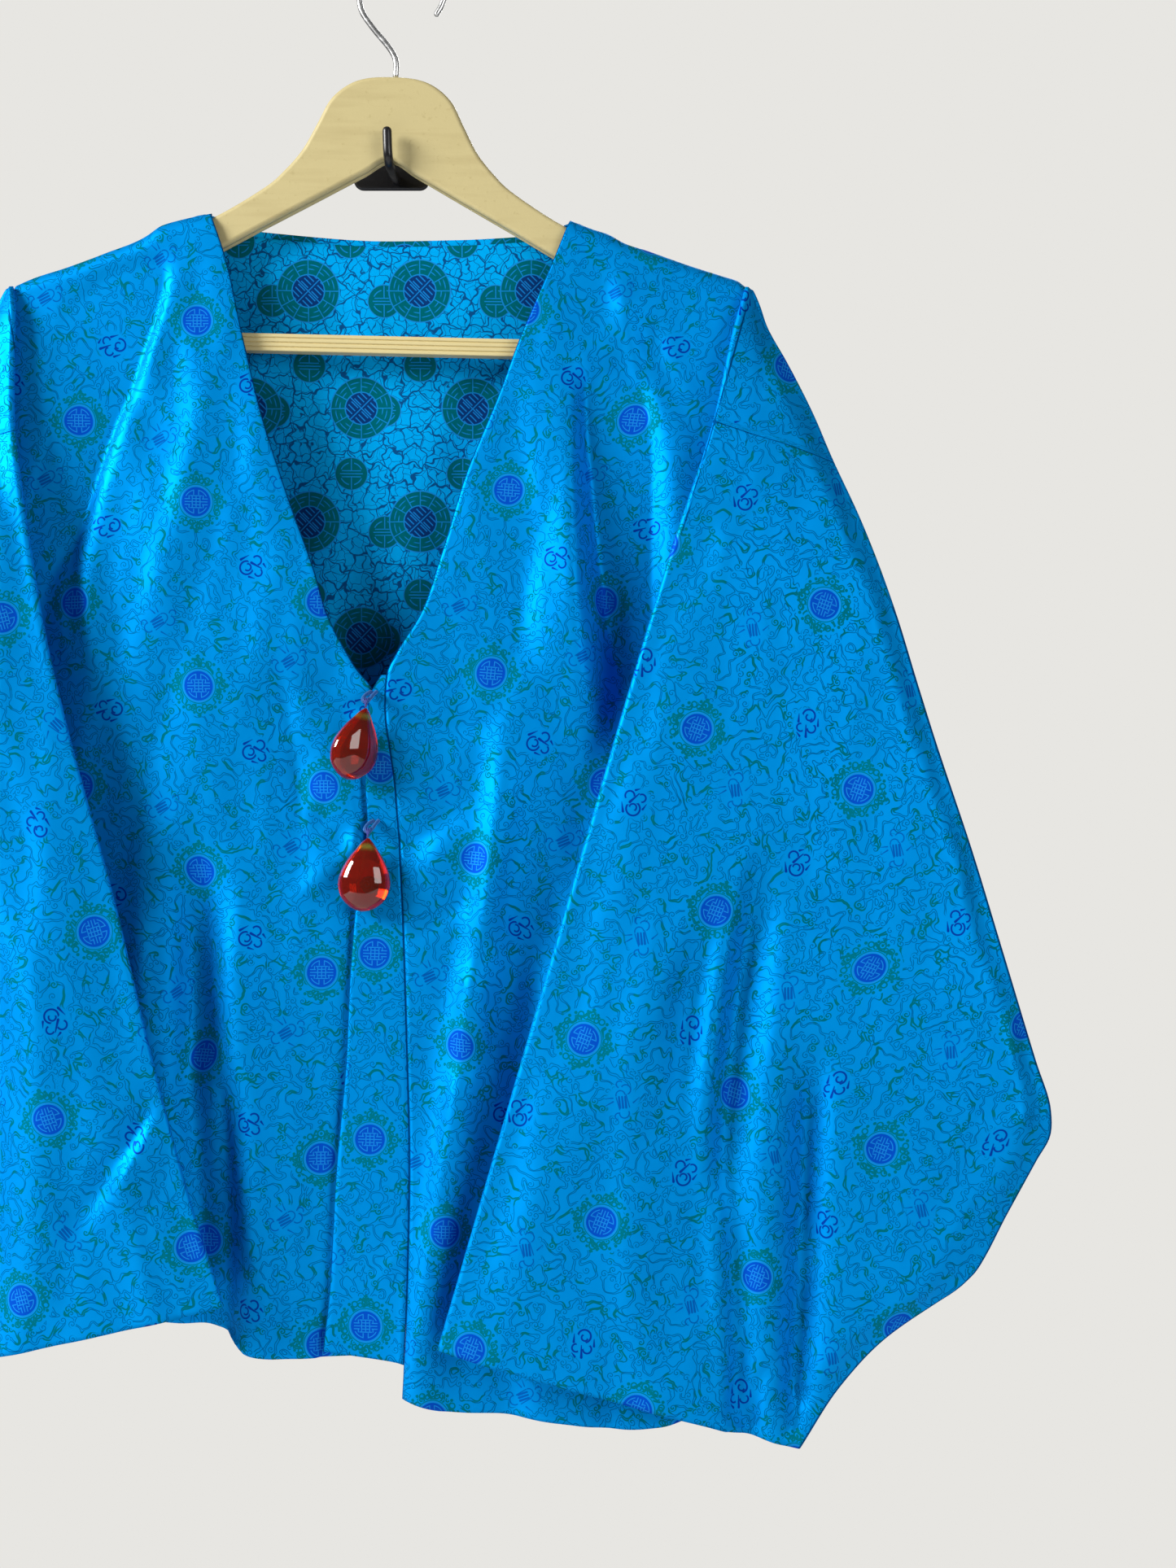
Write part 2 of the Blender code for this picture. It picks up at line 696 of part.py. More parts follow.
def top_normals(grid, facing):
    """Straight up where the cloth lies over the hanger, and out to its face along the neck."""
    turn = ease((np.abs(grid[0, :, 0] - HANGER_MIDDLE) - 93.0) / 12.0)[:, None]
    turned = np.array((0.0, 0.0, 1.0)) * turn + np.array(facing) * (1 - turn)
    return turned / np.linalg.norm(turned, axis=1, keepdims=True)


def inset_ends(grid, start, end):
    """Moves the first and the last column in along their rows, to leave the gap of a seam."""
    moved = grid.copy()
    for column, beside, gap in ((0, 1, start), (-1, -2, end)):
        if gap:
            way = grid[:, beside] - grid[:, column]
            moved[:, column] += way / np.linalg.norm(way, axis=1, keepdims=True) * gap
    return moved


def make_body():
    """The two fronts, the back and what of the lining shows inside the neck."""
    left = inset_ends(front_grid(1), SEAM_GAP / 2, SEAM_GAP)
    right = inset_ends(front_grid(-1), 0.0, SEAM_GAP)
    back = inset_ends(back_grid(), SEAM_GAP, SEAM_GAP)
    front_facing, back_facing = (0.0, -1.0, 0.0), (0.0, 1.0, 0.0)
    straight_up = np.array((0.0, 0.0, 1.0))
    panel("front_left", left, front_facing, CLOTH_WALL, "brocade", straight_up, (0, -1))
    panel("front_right", right, front_facing, CLOTH_WALL, "brocade", straight_up, (-1,))
    make_back(back, back_facing)
    make_lining(back)


def make_back(back, facing):
    """The back: a strip along the neck and over the hanger's arms, the shoulder blades, and the rest."""
    inner = inner_face(back, facing, CLOTH_WALL, top_normals(back, facing), (0, -1))
    cuts = (("back_top", 0, STRIP_ROWS), ("back_upper", STRIP_ROWS, BLADE_ROWS), ("back", BLADE_ROWS, None))
    for name, start, end in cuts:
        faces = []
        for face in (back, inner):
            part = face[start : None if end is None else end + 1].copy()
            if start > 0:
                way = part[1] - part[0]
                part[0] += way / np.linalg.norm(way, axis=1, keepdims=True) * SEAM_GAP
            faces.append(part)
        place(name, sheet_mesh(name, *faces), "brocade")


def make_lining(back):
    """Lining inside the back, as wide and as deep as the open neck shows it."""
    inside = grid_normals(back, (0.0, 1.0, 0.0))
    face = back - inside * (CLOTH_WALL + SEAM_GAP)
    kept = [column for column in range(BACK_COLUMNS) if abs(back[0, column, 0] - HANGER_MIDDLE) < 102.0]
    rows = [row for row in range(len(BODY_ROWS)) if row in (3, 4, 5, 6, 7, 8, 9, 10, 11)]
    lining = face[np.ix_(rows, kept)]
    panel("back_lining", lining, (0.0, 1.0, 0.0), LINING_WALL, "lining")


def placket_grid(columns=4):
    """Outer face of the placket strip, beside the left front and over the right one."""
    left = front_grid(1)
    start, end = 10, len(BODY_ROWS)
    heights = [FRONT_LEFT_EDGE[0].z - BODY_ROWS[row].collar for row in range(start, end - 1)]
    heights.append(HEM_PLACKET[-1].z)
    heights[0] = -268.0
    grid = []
    for number, height in enumerate(heights):
        seam_x = float(read(FRONT_LEFT_EDGE, "z", "x", height))
        free_x = float(read(OPENING_EDGE, "z", "x", height))
        seam_y = float(np.interp(-height, -left[:, 0, 2], left[:, 0, 1]))
        x = np.linspace(seam_x, free_x, columns)
        last = number == len(heights) - 1
        hem = read(HEM_PLACKET, "x", "z", x) if last else np.full(columns, height)
        y = seam_y + np.linspace(0.0, 1.0, columns) * 0.4 - relief(x, hem, CREASES_FRONT_LEFT)
        y[0] = seam_y
        grid.append(np.stack([x, y, hem], axis=1))
    return np.array(grid)


def make_placket():
    grid = inset_ends(placket_grid(), SEAM_GAP, 0.0)
    panel("placket", grid, (0.0, -1.0, 0.0), CLOTH_WALL, "brocade", straight=(0,))


def sleeve_frame(side):
    """Shoulder tip, the way across the sleeve and the way down it, seen from the front."""
    tip = SHOULDER_TIP_LEFT if side > 0 else SHOULDER_TIP_RIGHT
    lean = SLEEVE_LEAN_LEFT if side > 0 else SLEEVE_LEAN_RIGHT
    out = np.array((side * math.cos(lean), -math.sin(lean)))
    down = np.array((-side * math.sin(lean), -math.cos(lean)))
    return np.array(tip), out, down


def sleeve_scale(side):
    """A sleeve's length over the left one's."""
    return 1.0 if side > 0 else SLEEVE_LENGTH_RIGHT / SLEEVE_LENGTH_LEFT


def armhole_in_sleeve(side, step):
    tip, out, down = sleeve_frame(side)
    point = np.array(armhole_point(side, step)) - tip
    return float(point @ out), float(point @ down)


def sleeve_width(side, down):
    """From the straight line of the top fold to the outer edge."""
    return float(read(SLEEVE_OUTLINE, "down", "depth", down / sleeve_scale(side)))


def underarm_seam(side, down):
    """Where the underarm seam runs behind the sleeve, from the underarm out to the outer edge."""
    start_u, start_v = armhole_in_sleeve(side, 1.0)
    widest = WIDEST_DOWN * sleeve_scale(side)
    if down >= widest:
        return sleeve_width(side, down) - 8.0
    part = (down - start_v) / (widest - start_v)
    return start_u + (sleeve_width(side, widest) - 8.0 - start_u) * part**0.8


def rounded_end(edge, way, middle, half, inset):
    """Points round a folded end of the sleeve, without the two where it meets its faces."""
    turns = np.radians((135.0, 90.0, 45.0))
    u = edge + way * (FOLD_RADIUS - (FOLD_RADIUS - inset) * np.sin(turns))
    return u, middle + (half - inset) * np.cos(turns)


def sleeve_ring(side, down, edges, inset):
    """Points round the sleeve at one place down it, from the back of its seam or armhole to the front."""
    table = DEPTHS_LEFT if side > 0 else DEPTHS_RIGHT
    depth = {name: float(read(table, "down", name, down)) for name in ("fold", "outer", "half")}
    width = sleeve_width(side, down)
    start = float(read(FOLD_LEFT if side > 0 else FOLD_RIGHT, "down", "out", down))
    creases = CREASES_SLEEVE_LEFT if side > 0 else CREASES_SLEEVE_RIGHT

    def middle(u):
        return depth["fold"] + (depth["outer"] - depth["fold"]) * (u - start) / (width - start)

    def half(u):
        from_fold = ease((u - start) / 34.0)
        from_edge = ease((width - u) / 20.0)
        return FOLD_EDGE + (depth["half"] - FOLD_EDGE) * from_fold * (0.25 + 0.75 * from_edge)

    near_u = start + min(FOLD_RADIUS, 0.36 * (width - start))
    far_u = width - near_u + start
    settle = 0.0
    if edges is not None:
        cut_u, front_y, back_y = edges
        front_u = max(cut_u, near_u + 1.2)
    else:
        cut_u = underarm_seam(side, down)
        settle = math.exp(-(down - armhole_in_sleeve(side, 1.0)[1]) / 16.0)
        behind = middle(cut_u) + half(cut_u)
        back_y = front_y = behind + (SIDE_DEPTH_FRONT - 0.6 - behind) * settle
        front_u = cut_u
    hangs = edges is None
    rear_out = np.linspace(0.0, 1.0, SLEEVE_OUTER_POINTS + 1)
    rear_u = cut_u + (far_u - cut_u) * rear_out
    rear_y = back_y + (middle(far_u) + half(far_u) - back_y) * ease(rear_out)
    inner = np.linspace(0.0, 1.0, SLEEVE_INNER_POINTS + 1)
    inner_u = near_u + (front_u - near_u) * inner
    near_y = middle(near_u) + half(near_u)
    inner_y = near_y + (front_y - near_y) * inner
    if hangs:
        for u, y, part in ((rear_u, rear_y, rear_out), (inner_u, inner_y, 1.0 - inner)):
            lifted = relief(u, np.full_like(u, down), CREASES_SLEEVE_BEHIND)
            y += (middle(u) + half(u) + lifted - y) * (1 - settle) * np.minimum(part * 3.0, 1.0)
        rear_u[0] += SEAM_GAP
    face_u = far_u + (near_u - far_u) * np.linspace(0.0, 1.0, SLEEVE_FRONT_POINTS)
    lifted = relief(face_u, np.full_like(face_u, down), creases)
    lifted = lifted * ease(np.minimum(face_u - start, width - face_u) / 14.0)
    face_y = middle(face_u) - half(face_u) - lifted
    out_u, out_y = rounded_end(width, -1.0, middle(far_u), half(far_u), inset)
    in_u, in_y = rounded_end(start, 1.0, middle(near_u), half(near_u), inset)
    u = np.concatenate([rear_u, out_u[::-1], face_u, in_u, inner_u])
    y = np.concatenate([rear_y - inset, out_y[::-1], face_y + inset, in_y, inner_y - inset])
    tip, out, way = sleeve_frame(side)
    flat = tip + u[:, None] * out + down * way
    return np.stack([flat[:, 0], y, flat[:, 1]], axis=1)


def sleeve_levels(side):
    """Places down the sleeve. Those that cross the armhole carry its edges, as the body sets them."""
    front, back = front_grid(side), back_grid()
    levels = []
    for number, row in enumerate(BODY_ROWS):
        if row.armhole < 0.03 or row.side > 0:
            continue
        u, down = armhole_in_sleeve(side, row.armhole)
        edges = (u, float(front[number, -1, 1]) - SEAM_GAP, float(back[number, -1 if side > 0 else 0, 1]))
        levels.append((down, row.armhole, edges))
    length = SLEEVE_LENGTH_LEFT if side > 0 else SLEEVE_LENGTH_RIGHT
    underarm = levels[-1][0]
    levels += [(max(down * sleeve_scale(side), underarm + 10.0), 1.0, None) for down in SLEEVE_RINGS_BELOW]
    return levels + [(length, 1.0, None)]


def sleeve_node(name, side, levels):
    outer = np.array([sleeve_ring(side, down, edges, 0.0) for down, step, edges in levels])
    inner = np.array([sleeve_ring(side, down, edges, CLOTH_WALL) for down, step, edges in levels])
    place(name, sheet_mesh(name, outer, inner), "brocade")


def make_sleeves():
    """Each sleeve, and the end of the shoulder that drops over the hanger's tip above its seam."""
    for side, word in ((1, "left"), (-1, "right")):
        levels = sleeve_levels(side)
        above = [level for level in levels if level[1] <= SEAM_OVER_SLEEVE]
        below = [level for level in levels if level[1] >= SEAM_OVER_SLEEVE]
        seam = above[-1]
        above[-1] = (seam[0] - SEAM_GAP / 2, *seam[1:])
        below[0] = (seam[0] + SEAM_GAP / 2, *seam[1:])
        sleeve_node("shoulder_end_" + word, side, above)
        sleeve_node("sleeve_" + word, side, below)


def outline_mesh(name, outline, near, far):
    """An outline in x and z, extruded through y."""
    form = bmesh.new()
    corners = [form.verts.new((x, near, z)) for x, z in outline]
    face = form.faces.new(corners)
    pushed = bmesh.ops.extrude_face_region(form, geom=[face])
    moved = [item for item in pushed["geom"] if isinstance(item, bmesh.types.BMVert)]
    bmesh.ops.translate(form, verts=moved, vec=(0.0, far - near, 0.0))
    bmesh.ops.recalc_face_normals(form, faces=form.faces)
    mesh = bpy.data.meshes.new(name)
    form.to_mesh(mesh)
    form.free()
    return mesh


def tilt_about_apex(mesh):
    """Leans the hanger as it hangs, its left arm lower."""
    pivot = Vector((HANGER_MIDDLE, 0.0, HANGER_APEX))
    there, back = Matrix.Translation(pivot), Matrix.Translation(-pivot)
    mesh.transform(there @ Matrix.Rotation(HANGER_TILT, 4, "Y") @ back)


def hanger_outline():
    """Round the hanger, left arm then right arm, from tables of one arm."""
    arm = [(row.x, row.z) for row in HANGER_TOP[1:] + HANGER_LOW[:0:-1]]
    left = [(HANGER_MIDDLE + across, z) for across, z in arm]
    right = [(HANGER_MIDDLE - across, z) for across, z in reversed(arm)]
    peak = (HANGER_MIDDLE, HANGER_TOP[0].z)
    apex = (HANGER_MIDDLE, HANGER_APEX)
    return [peak] + left + [apex] + right


def make_hanger():
    half = HANGER_THICK / 2
    mesh = outline_mesh("hanger", hanger_outline(), SHOULDER_DEPTH - half, SHOULDER_DEPTH + half)
    tilt_about_apex(mesh)
    hanger = place("hanger", mesh, "hanger", smooth=False)
    soft = hanger.modifiers.new("soft_edges", "BEVEL")
    soft.width = HANGER_BEVEL / 1000
    soft.segments = 1
    soft.limit_method = "ANGLE"
    soft.angle_limit = math.radians(60.0)
    make_bar()
    make_wire()


def make_bar():
    """Trouser bar between the tips, with grooves along its front."""
    front, rear = SHOULDER_DEPTH - BAR_THICK / 2, SHOULDER_DEPTH + BAR_THICK / 2
    height = BAR_TOP - BAR_BOTTOM
    section = [(rear, BAR_TOP), (rear, BAR_BOTTOM)]
    for number in range(4):
        low = BAR_BOTTOM + height * (number + 0.12) / 4
        high = BAR_BOTTOM + height * (number + 0.88) / 4
        section += [(front, low), (front, high)]
        if number < 3:
            section.append((front + BAR_GROOVE, BAR_BOTTOM + height * (number + 1) / 4))
    form = bmesh.new()
    start = HANGER_MIDDLE - BAR_HALF_LENGTH
    corners = [form.verts.new((start, y, z)) for y, z in section]
    face = form.faces.new(corners)
    pushed = bmesh.ops.extrude_face_region(form, geom=[face])
    moved = [item for item in pushed["geom"] if isinstance(item, bmesh.types.BMVert)]
    bmesh.ops.translate(form, verts=moved, vec=(2 * BAR_HALF_LENGTH, 0.0, 0.0))
    bmesh.ops.recalc_face_normals(form, faces=form.faces)
    mesh = bpy.data.meshes.new("hanger_bar")
    form.to_mesh(mesh)
    form.free()
    tilt_about_apex(mesh)
    place("hanger_bar", mesh, "hanger", smooth=False)


def smooth_route(points, between):
    """Points on a smooth curve through the given ones."""
    given = np.array(points, float)
    ends = np.concatenate([[2 * given[0] - given[1]], given, [2 * given[-1] - given[-2]]])
    out = []
    for number in range(len(given) - 1):
        a, b, c, d = ends[number : number + 4]
        for step in np.linspace(0.0, 1.0, between, endpoint=False):
            square = (2 * a - 5 * b + 4 * c - d) * step**2
            cube = (3 * b - 3 * c + d - a) * step**3
            out.append(0.5 * (2 * b + (c - a) * step + square + cube))
    out.append(given[-1])
    return np.array(out)


def tube_mesh(name, route, radius, sides, closed=False):
    """A round tube along a route, with flat ends unless it closes on itself."""
    route = np.array(route, float)
    count = len(route)
    if closed:
        ways = np.roll(route, -1, axis=0) - np.roll(route, 1, axis=0)
    else:
        ways = np.gradient(route, axis=0)
    ways /= np.linalg.norm(ways, axis=1, keepdims=True)
    plane = np.linalg.svd(route - route.mean(axis=0))[2][-1]
    points = []
    for place_at, way in zip(route, ways):
        side = np.cross(way, plane)
        side /= np.linalg.norm(side)
        up = np.cross(side, way)
        for number in range(sides):
            turn = 2 * math.pi * number / sides
            points.append(place_at + radius * (math.cos(turn) * side + math.sin(turn) * up))
    faces = []
    for number in range(count if closed else count - 1):
        after = (number + 1) % count
        for corner in range(sides):
            beside = (corner + 1) % sides
            here, there = number * sides, after * sides
            faces.append((here + corner, here + beside, there + beside, there + corner))
    if not closed:
        faces.append(tuple(range(sides)))
        faces.append(tuple(range((count - 1) * sides, count * sides)))
    return mesh_of(name, points, faces)


def make_wire():
    """Wire hook of the hanger: its shank, then an open arc."""
    arc = [
        (
            WIRE_ARC_MIDDLE[0] + WIRE_ARC_RADIUS * math.cos(turn),
            WIRE_ARC_MIDDLE[1] + WIRE_ARC_RADIUS * math.sin(turn),
        )
        for turn in np.radians(np.linspace(178.0, -35.0, 9))
    ]
    flat = smooth_route(list(WIRE_ROUTE) + arc, 2)
    route = [(x, SHOULDER_DEPTH, z) for x, z in flat]
    mesh = tube_mesh("wire_hook", route, WIRE_RADIUS, 8)
    tilt_about_apex(mesh)
    place("wire_hook", mesh, "wire")


def make_wall_hook():
    """Plate on the wall with a peg that runs forward under the hanger and turns up before it."""
    middle_x, middle_z = -GARMENT_AT.x * 1000, -GARMENT_AT.z * 1000
    outline = []
    for turn_x, turn_z, start in ((1, 1, 0.0), (-1, 1, 90.0), (-1, -1, 180.0), (1, -1, 270.0)):
        corner_x = middle_x + turn_x * (PLATE_WIDTH / 2 - PLATE_CORNER)
        corner_z = middle_z + turn_z * (PLATE_HEIGHT / 2 - PLATE_CORNER)
        for turn in np.radians(np.linspace(start, start + 90.0, 5)):
            x, z = corner_x + PLATE_CORNER * math.cos(turn), corner_z + PLATE_CORNER * math.sin(turn)
            outline.append((x, z))
    hook = place("wall_hook", outline_mesh("wall_hook", outline, -PLATE_THICK, 0.0), "hook", smooth=False)
    route = smooth_route(PEG_ROUTE, 2)
    peg = place("peg_form", tube_mesh("peg_form", route, PEG_RADIUS, 12), "hook")
    peg.hide_render = True
    peg.display_type = "WIRE"
    join = hook.modifiers.new("peg", "BOOLEAN")
    join.operation = "UNION"
    join.solver = "EXACT"
    join.object = peg


def make_button(button, surface):
    """A drop button with the thread ring and the cloth loop that carry it."""
    sides = 16
    points = []
    for row in BUTTON_PROFILE:
        thick = row.half_width * BUTTON_THICK / BUTTON_WIDTH
        for number in range(sides):
            turn = 2 * math.pi * number / sides
            points.append((row.half_width * math.cos(turn), thick * math.sin(turn), -row.down))
    rings = len(BUTTON_PROFILE)
    faces = [tuple(range(sides)), tuple(range((rings - 1) * sides, rings * sides))]
    for ring in range(rings - 1):
        for number in range(sides):
            beside = (number + 1) % sides
            here, there = ring * sides, (ring + 1) * sides
            faces.append((here + number, here + beside, there + beside, there + number))
    mesh = mesh_of("button_" + button.name, points, faces)
    depth = surface - BUTTON_CLEAR - BUTTON_THICK / 2
    mesh.transform(
        Matrix.Translation(Vector((button.x, depth, button.z))) @ Matrix.Rotation(button.tilt, 4, "Y")
    )
    place("button_" + button.name, mesh, "amber")
    ring_radius = 2.3
    ring_z = button.z + ring_radius + THREAD_RADIUS + SEAM_GAP
    ring = [
        (button.x, depth + ring_radius * math.sin(turn), ring_z + ring_radius * math.cos(turn))
        for turn in np.linspace(0.0, 2 * math.pi, 14, endpoint=False)
    ]
    thread = tube_mesh("thread_" + button.name, ring, THREAD_RADIUS, 6, True)
    place("button_thread_" + button.name, thread, "thread")
    low = ring_z + 0.2
    foot = surface - SEAM_GAP - 0.1
    between = (surface + depth) / 2
    loop = (
        (1.8, foot, low + 6.0),
        (-0.6, between, low + 4.2),
        (-1.8, depth, low + 1.4),
        (0.0, depth, low),
        (1.8, depth, low + 1.4),
        (3.4, between, low + 4.2),
        (4.6, foot, low + 6.0),
    )
    route = smooth_route([(button.x + x, y, z) for x, y, z in loop], 2)
    place("button_loop_" + button.name, tube_mesh("loop_" + button.name, route, LOOP_RADIUS, 8), "brocade")


def make_buttons():
    grid = placket_grid()
    for button in BUTTONS:
        surface = float(np.interp(-button.z, -grid[:, -1, 2], grid[:, -1, 1]))
        make_button(button, surface - 0.4)


def main():
    clear_scene()
    make_body()
    make_placket()
    make_sleeves()
    make_hanger()
    make_wall_hook()
    make_buttons()


main()
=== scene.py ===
"""Dresses the jacket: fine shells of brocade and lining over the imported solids, amber buttons, hanger and hook."""

import math
from collections import namedtuple

import bmesh
import bpy
import numpy as np
from mathutils import Matrix, Vector


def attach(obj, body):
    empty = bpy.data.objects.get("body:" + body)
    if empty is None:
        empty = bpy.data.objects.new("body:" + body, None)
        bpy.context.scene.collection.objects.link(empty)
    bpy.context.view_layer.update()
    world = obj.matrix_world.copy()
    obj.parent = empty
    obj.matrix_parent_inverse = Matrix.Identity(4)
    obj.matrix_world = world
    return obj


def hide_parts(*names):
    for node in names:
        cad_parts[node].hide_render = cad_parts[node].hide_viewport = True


bl_info = {
    "name": "Magoja Jacket",
    "version": (1, 0, 0),
    "blender": (4, 5, 0),
    "location": "View3D > Sidebar > Jacket",
    "description": "Builds a lined brocade magoja jacket on a hanger over its solids",
    "category": "Object",
}

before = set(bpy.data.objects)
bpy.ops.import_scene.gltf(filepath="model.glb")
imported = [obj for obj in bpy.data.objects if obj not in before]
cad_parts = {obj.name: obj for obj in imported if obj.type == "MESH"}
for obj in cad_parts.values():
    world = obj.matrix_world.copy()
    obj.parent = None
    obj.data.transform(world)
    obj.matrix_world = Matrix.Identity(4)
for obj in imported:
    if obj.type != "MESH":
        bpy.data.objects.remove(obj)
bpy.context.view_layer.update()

# The garment's frame, the camera, the floor and the lights, in metres from the origin.
GARMENT_AT = Vector((0.0065, 0.0, -0.0370))
CAMERA_AT = (0.1132, -1.175, -0.3646)
CAMERA_LENS = 46.7
CAMERA_SENSOR = 36.0
CAMERA_NEAR = 0.02
FLOOR_AT = -1.05
FLOOR_X = (-1.3, 1.5)
FLOOR_Y = (-1.6, 0.4)
WORLD_STRENGTH = 0.10
WORLD_LIGHT = (1.0, 1.0, 0.99, 1.0)
WORLD_SEEN = (0.80, 0.79, 0.76, 1.0)
MID_GREY = (0.5, 0.5, 0.5)
FLATTEN = (1.0, 1.0, 0.0)
DULL_ZINC = (0.2, 0.2, 0.21)
WORN_HOOK = (0.03, 0.03, 0.035)
WORN_FLOOR = (0.62, 0.62, 0.62)
# Name, place, aim and power of each square light, and its width.
LIGHTS = (
    ("key_light", (-2.65, -1.45, 1.05), (0.1, 0.0, -0.35), 158.0, 1.3),
    ("fill_light", (1.9, -2.0, 0.2), (0.15, 0.0, -0.4), 26.0, 1.3),
    ("rear_light", (0.4, 2.2, 0.9), (0.0, 0.0, -0.3), 40.0, 1.4),
)

# From here on all is in millimetres in the garment's frame: x across, y depth with 0 at the wall, z height. The
# wearer's left is side 1 and their right is side -1.
SEAM_GAP = 0.3
SEAM_DRAWN_IN = 0.05
SHOULDER_ROUND = 9.0
SHOULDER_DEPTH = -36.0
ARMHOLE_DROP = 280.5
ARMHOLE_SPREAD = 20.4
SIDE_DEPTH_FRONT = -41.9
SIDE_BLEND = 85.0
BODY_LENGTH = 600.0
HEM_SPAN = 62.0
# Slopes of the hanging cloth away from the hanger: how far out each goes, from what drop and over what drop.
FRONT_SLOPES = ((15.0, 6.0, 260.0), (4.0, 240.0, 260.0))
BACK_SLOPES = ((5.0, 0.0, 90.0), (4.0, 90.0, 400.0))
# Parts that a fold's line is cut into, and the share of it over which it fades.
FOLD_PARTS = 12
FOLD_FADE = 0.35
LAP_STEP = 2.6
LAP_CLEAR = 3.0
NECK_HALF = 93.0
NECK_BLEND = 12.0
LINING_HALF = 102.0
LINING_LOWEST = -460.0
# Seam down the middle of the lining: where it starts at the neck, and how it leans.
LINING_SEAM_TOP = -4.6
LINING_SEAM_LEAN = 0.055
# Lengths of cloth that set how many points a row has.
FRONT_ACROSS = 226
BACK_ACROSS = 430
SLEEVE_AROUND = {"face": 282, "rear": 110, "inner": 150}
PLACKET_COLUMNS = 14
# Length of the sleeve that the sleeve's outline was measured on.
SLEEVE_TABLE_LENGTH = 604.3
WIDEST_DOWN = 405.0
UNDERARM_IN = 8.0
FOLD_EDGE = 2.3
FOLD_RADIUS = 2.6
ROUND_POINTS = 7
FOLD_BLEND = 34.0
EDGE_BLEND = 20.0
LIFT_BLEND = 14.0
UNDERARM_SETTLE = 16.0
# Seam lines drawn on a sleeve. The armhole's is this far out, and runs from here to there down the sleeve. The
# underarm's is this far in, and starts here.
ARMHOLE_LINE = (5.5, 16.0, 190.0)
UNDERARM_LINE = (3.4, 150.0)
SEAM_OVER_SLEEVE = 0.315
PATTERN_SHIFT = (31.0, 18.0)
PLACKET_LIFT = 0.4

HANGER_MIDDLE = -3.9
HANGER_THICK = 11.0
HANGER_CLEAR = 2.3
HANGER_TILT = math.radians(1.35)
HANGER_APEX = 20.5
HANGER_ROLL = 2.4
HANGER_GROOVE = 1.3
GROOVE_END = 150.0
BAR_TOP = -77.4
BAR_BOTTOM = -87.6
BAR_THICK = 8.0
BAR_HALF_LENGTH = 160.0
BAR_GROOVES = 4
WIRE_RADIUS = 1.6
WIRE_ARC_MIDDLE = (0.4, 118.0)
WIRE_ARC_RADIUS = 24.0
PLATE_SIZE = 44.0
PLATE_THICK = 3.0
PLATE_CORNER = 6.0
PEG_RADIUS = 2.6
BUTTON_WIDTH = 28.5
BUTTON_THICK = 16.0
BUTTON_CLEAR = 1.6
BUTTON_TURNS = 48
BUTTON_RINGS = 44
BUTTON_ON_PLACKET = -15.0
BUTTON_LIFT = 0.4
THREAD_RADIUS = 0.55
THREAD_RING = 2.3
LOOP_RADIUS = 1.0

UP = np.array((0.0, 0.0, 1.0))
BACKWARD = np.array((0.0, 1.0, 0.0))


def table(columns, *rows):
    """Rows with named columns."""
    kind = namedtuple("Row", columns)
    return tuple(kind(*row) for row in rows)


def fold_table(*rows):
    """Folds, each a bent line on the cloth. One that rises stands out, and one below 0 is a trough. Minus and plus
    are how far it spreads to the viewer's left and right of its line. Sharp is 1 for a soft roll, less for a crisp
    one, more for a flat one. A fold fades out at an end that is marked 1."""
    return table("x0 z0 xm zm x1 z1 minus plus rise sharp fade_in fade_out", *rows)


# Front edge of each front: the V neck down to its point, then the edge under or beside the placket.
FRONT_LEFT_EDGE = table(
    "z x",
    (-12.5, 97), (-35, 88), (-83, 67.8), (-114, 56.5), (-155.5, 39.9), (-203, 25.5), (-236, 14), (-254, 3),
    (-266, -3), (-280, -4.2), (-330, 1.2), (-400, 5.6), (-464, 7.8), (-540, 9.4), (-610, 8.2), (-662, 5.6),
)
FRONT_RIGHT_EDGE = table(
    "z x",
    (-8.5, -103.7), (-32, -95.6), (-81, -84.3), (-122, -74), (-168, -59.1), (-213, -42.9), (-234, -36.6),
    (-254, -26.7), (-265, -20), (-275, -11.5), (-290, -6.5), (-350, -4), (-450, -7), (-640, -14),
)
# Free edge of the placket strip, which laps over the right front.
OPENING_EDGE = table(
    "z x",
    (-268, -6.5), (-279, -13), (-328, -15.3), (-350, -14.2), (-398, -20.6), (-433, -23.3), (-480, -25.5),
    (-534, -30.4), (-612, -34.8), (-643, -37.8),
)
# Shoulder line over the hanger, from the neck to the shoulder tip.
SHOULDER_LEFT = table(
    "x z",
    (97, -12.5), (109, -17.2), (119, -20.6), (126, -24.6), (140, -29.4), (165, -38.2), (182, -43.6),
    (190.5, -46.4), (194.5, -49.5),
)
SHOULDER_RIGHT = table(
    "x z",
    (-103.7, -8.5), (-121, -12.2), (-132, -15.6), (-139, -20.6), (-163, -30.8), (-184, -38.6), (-205, -45.6),
    (-212.5, -49),
)
BACK_NECK = table(
    "x z",
    (-103.7, -8.5), (-90, -14.2), (-57, -18), (-15, -21.1), (38, -20.4), (80, -17.6), (97, -12.5),
)
# Hems, from the placket out to the side seam.
HEM_LEFT = table(
    "x z",
    (5.6, -662), (25, -669), (60, -672.5), (95, -677.5), (122, -680.5), (146, -678.5), (185, -668), (222, -654),
)
HEM_RIGHT = table(
    "x z",
    (-14, -640), (-40, -641), (-65, -641.5), (-80, -638.5), (-92, -627), (-120, -622), (-170, -618),
    (-235, -612),
)
HEM_PLACKET = table(
    "x z",
    (-37.8, -637), (7, -643.5),
)
HEM_BACK = table(
    "x z",
    (-235, -612), (-120, -628), (0, -634), (120, -640), (222, -654),
)
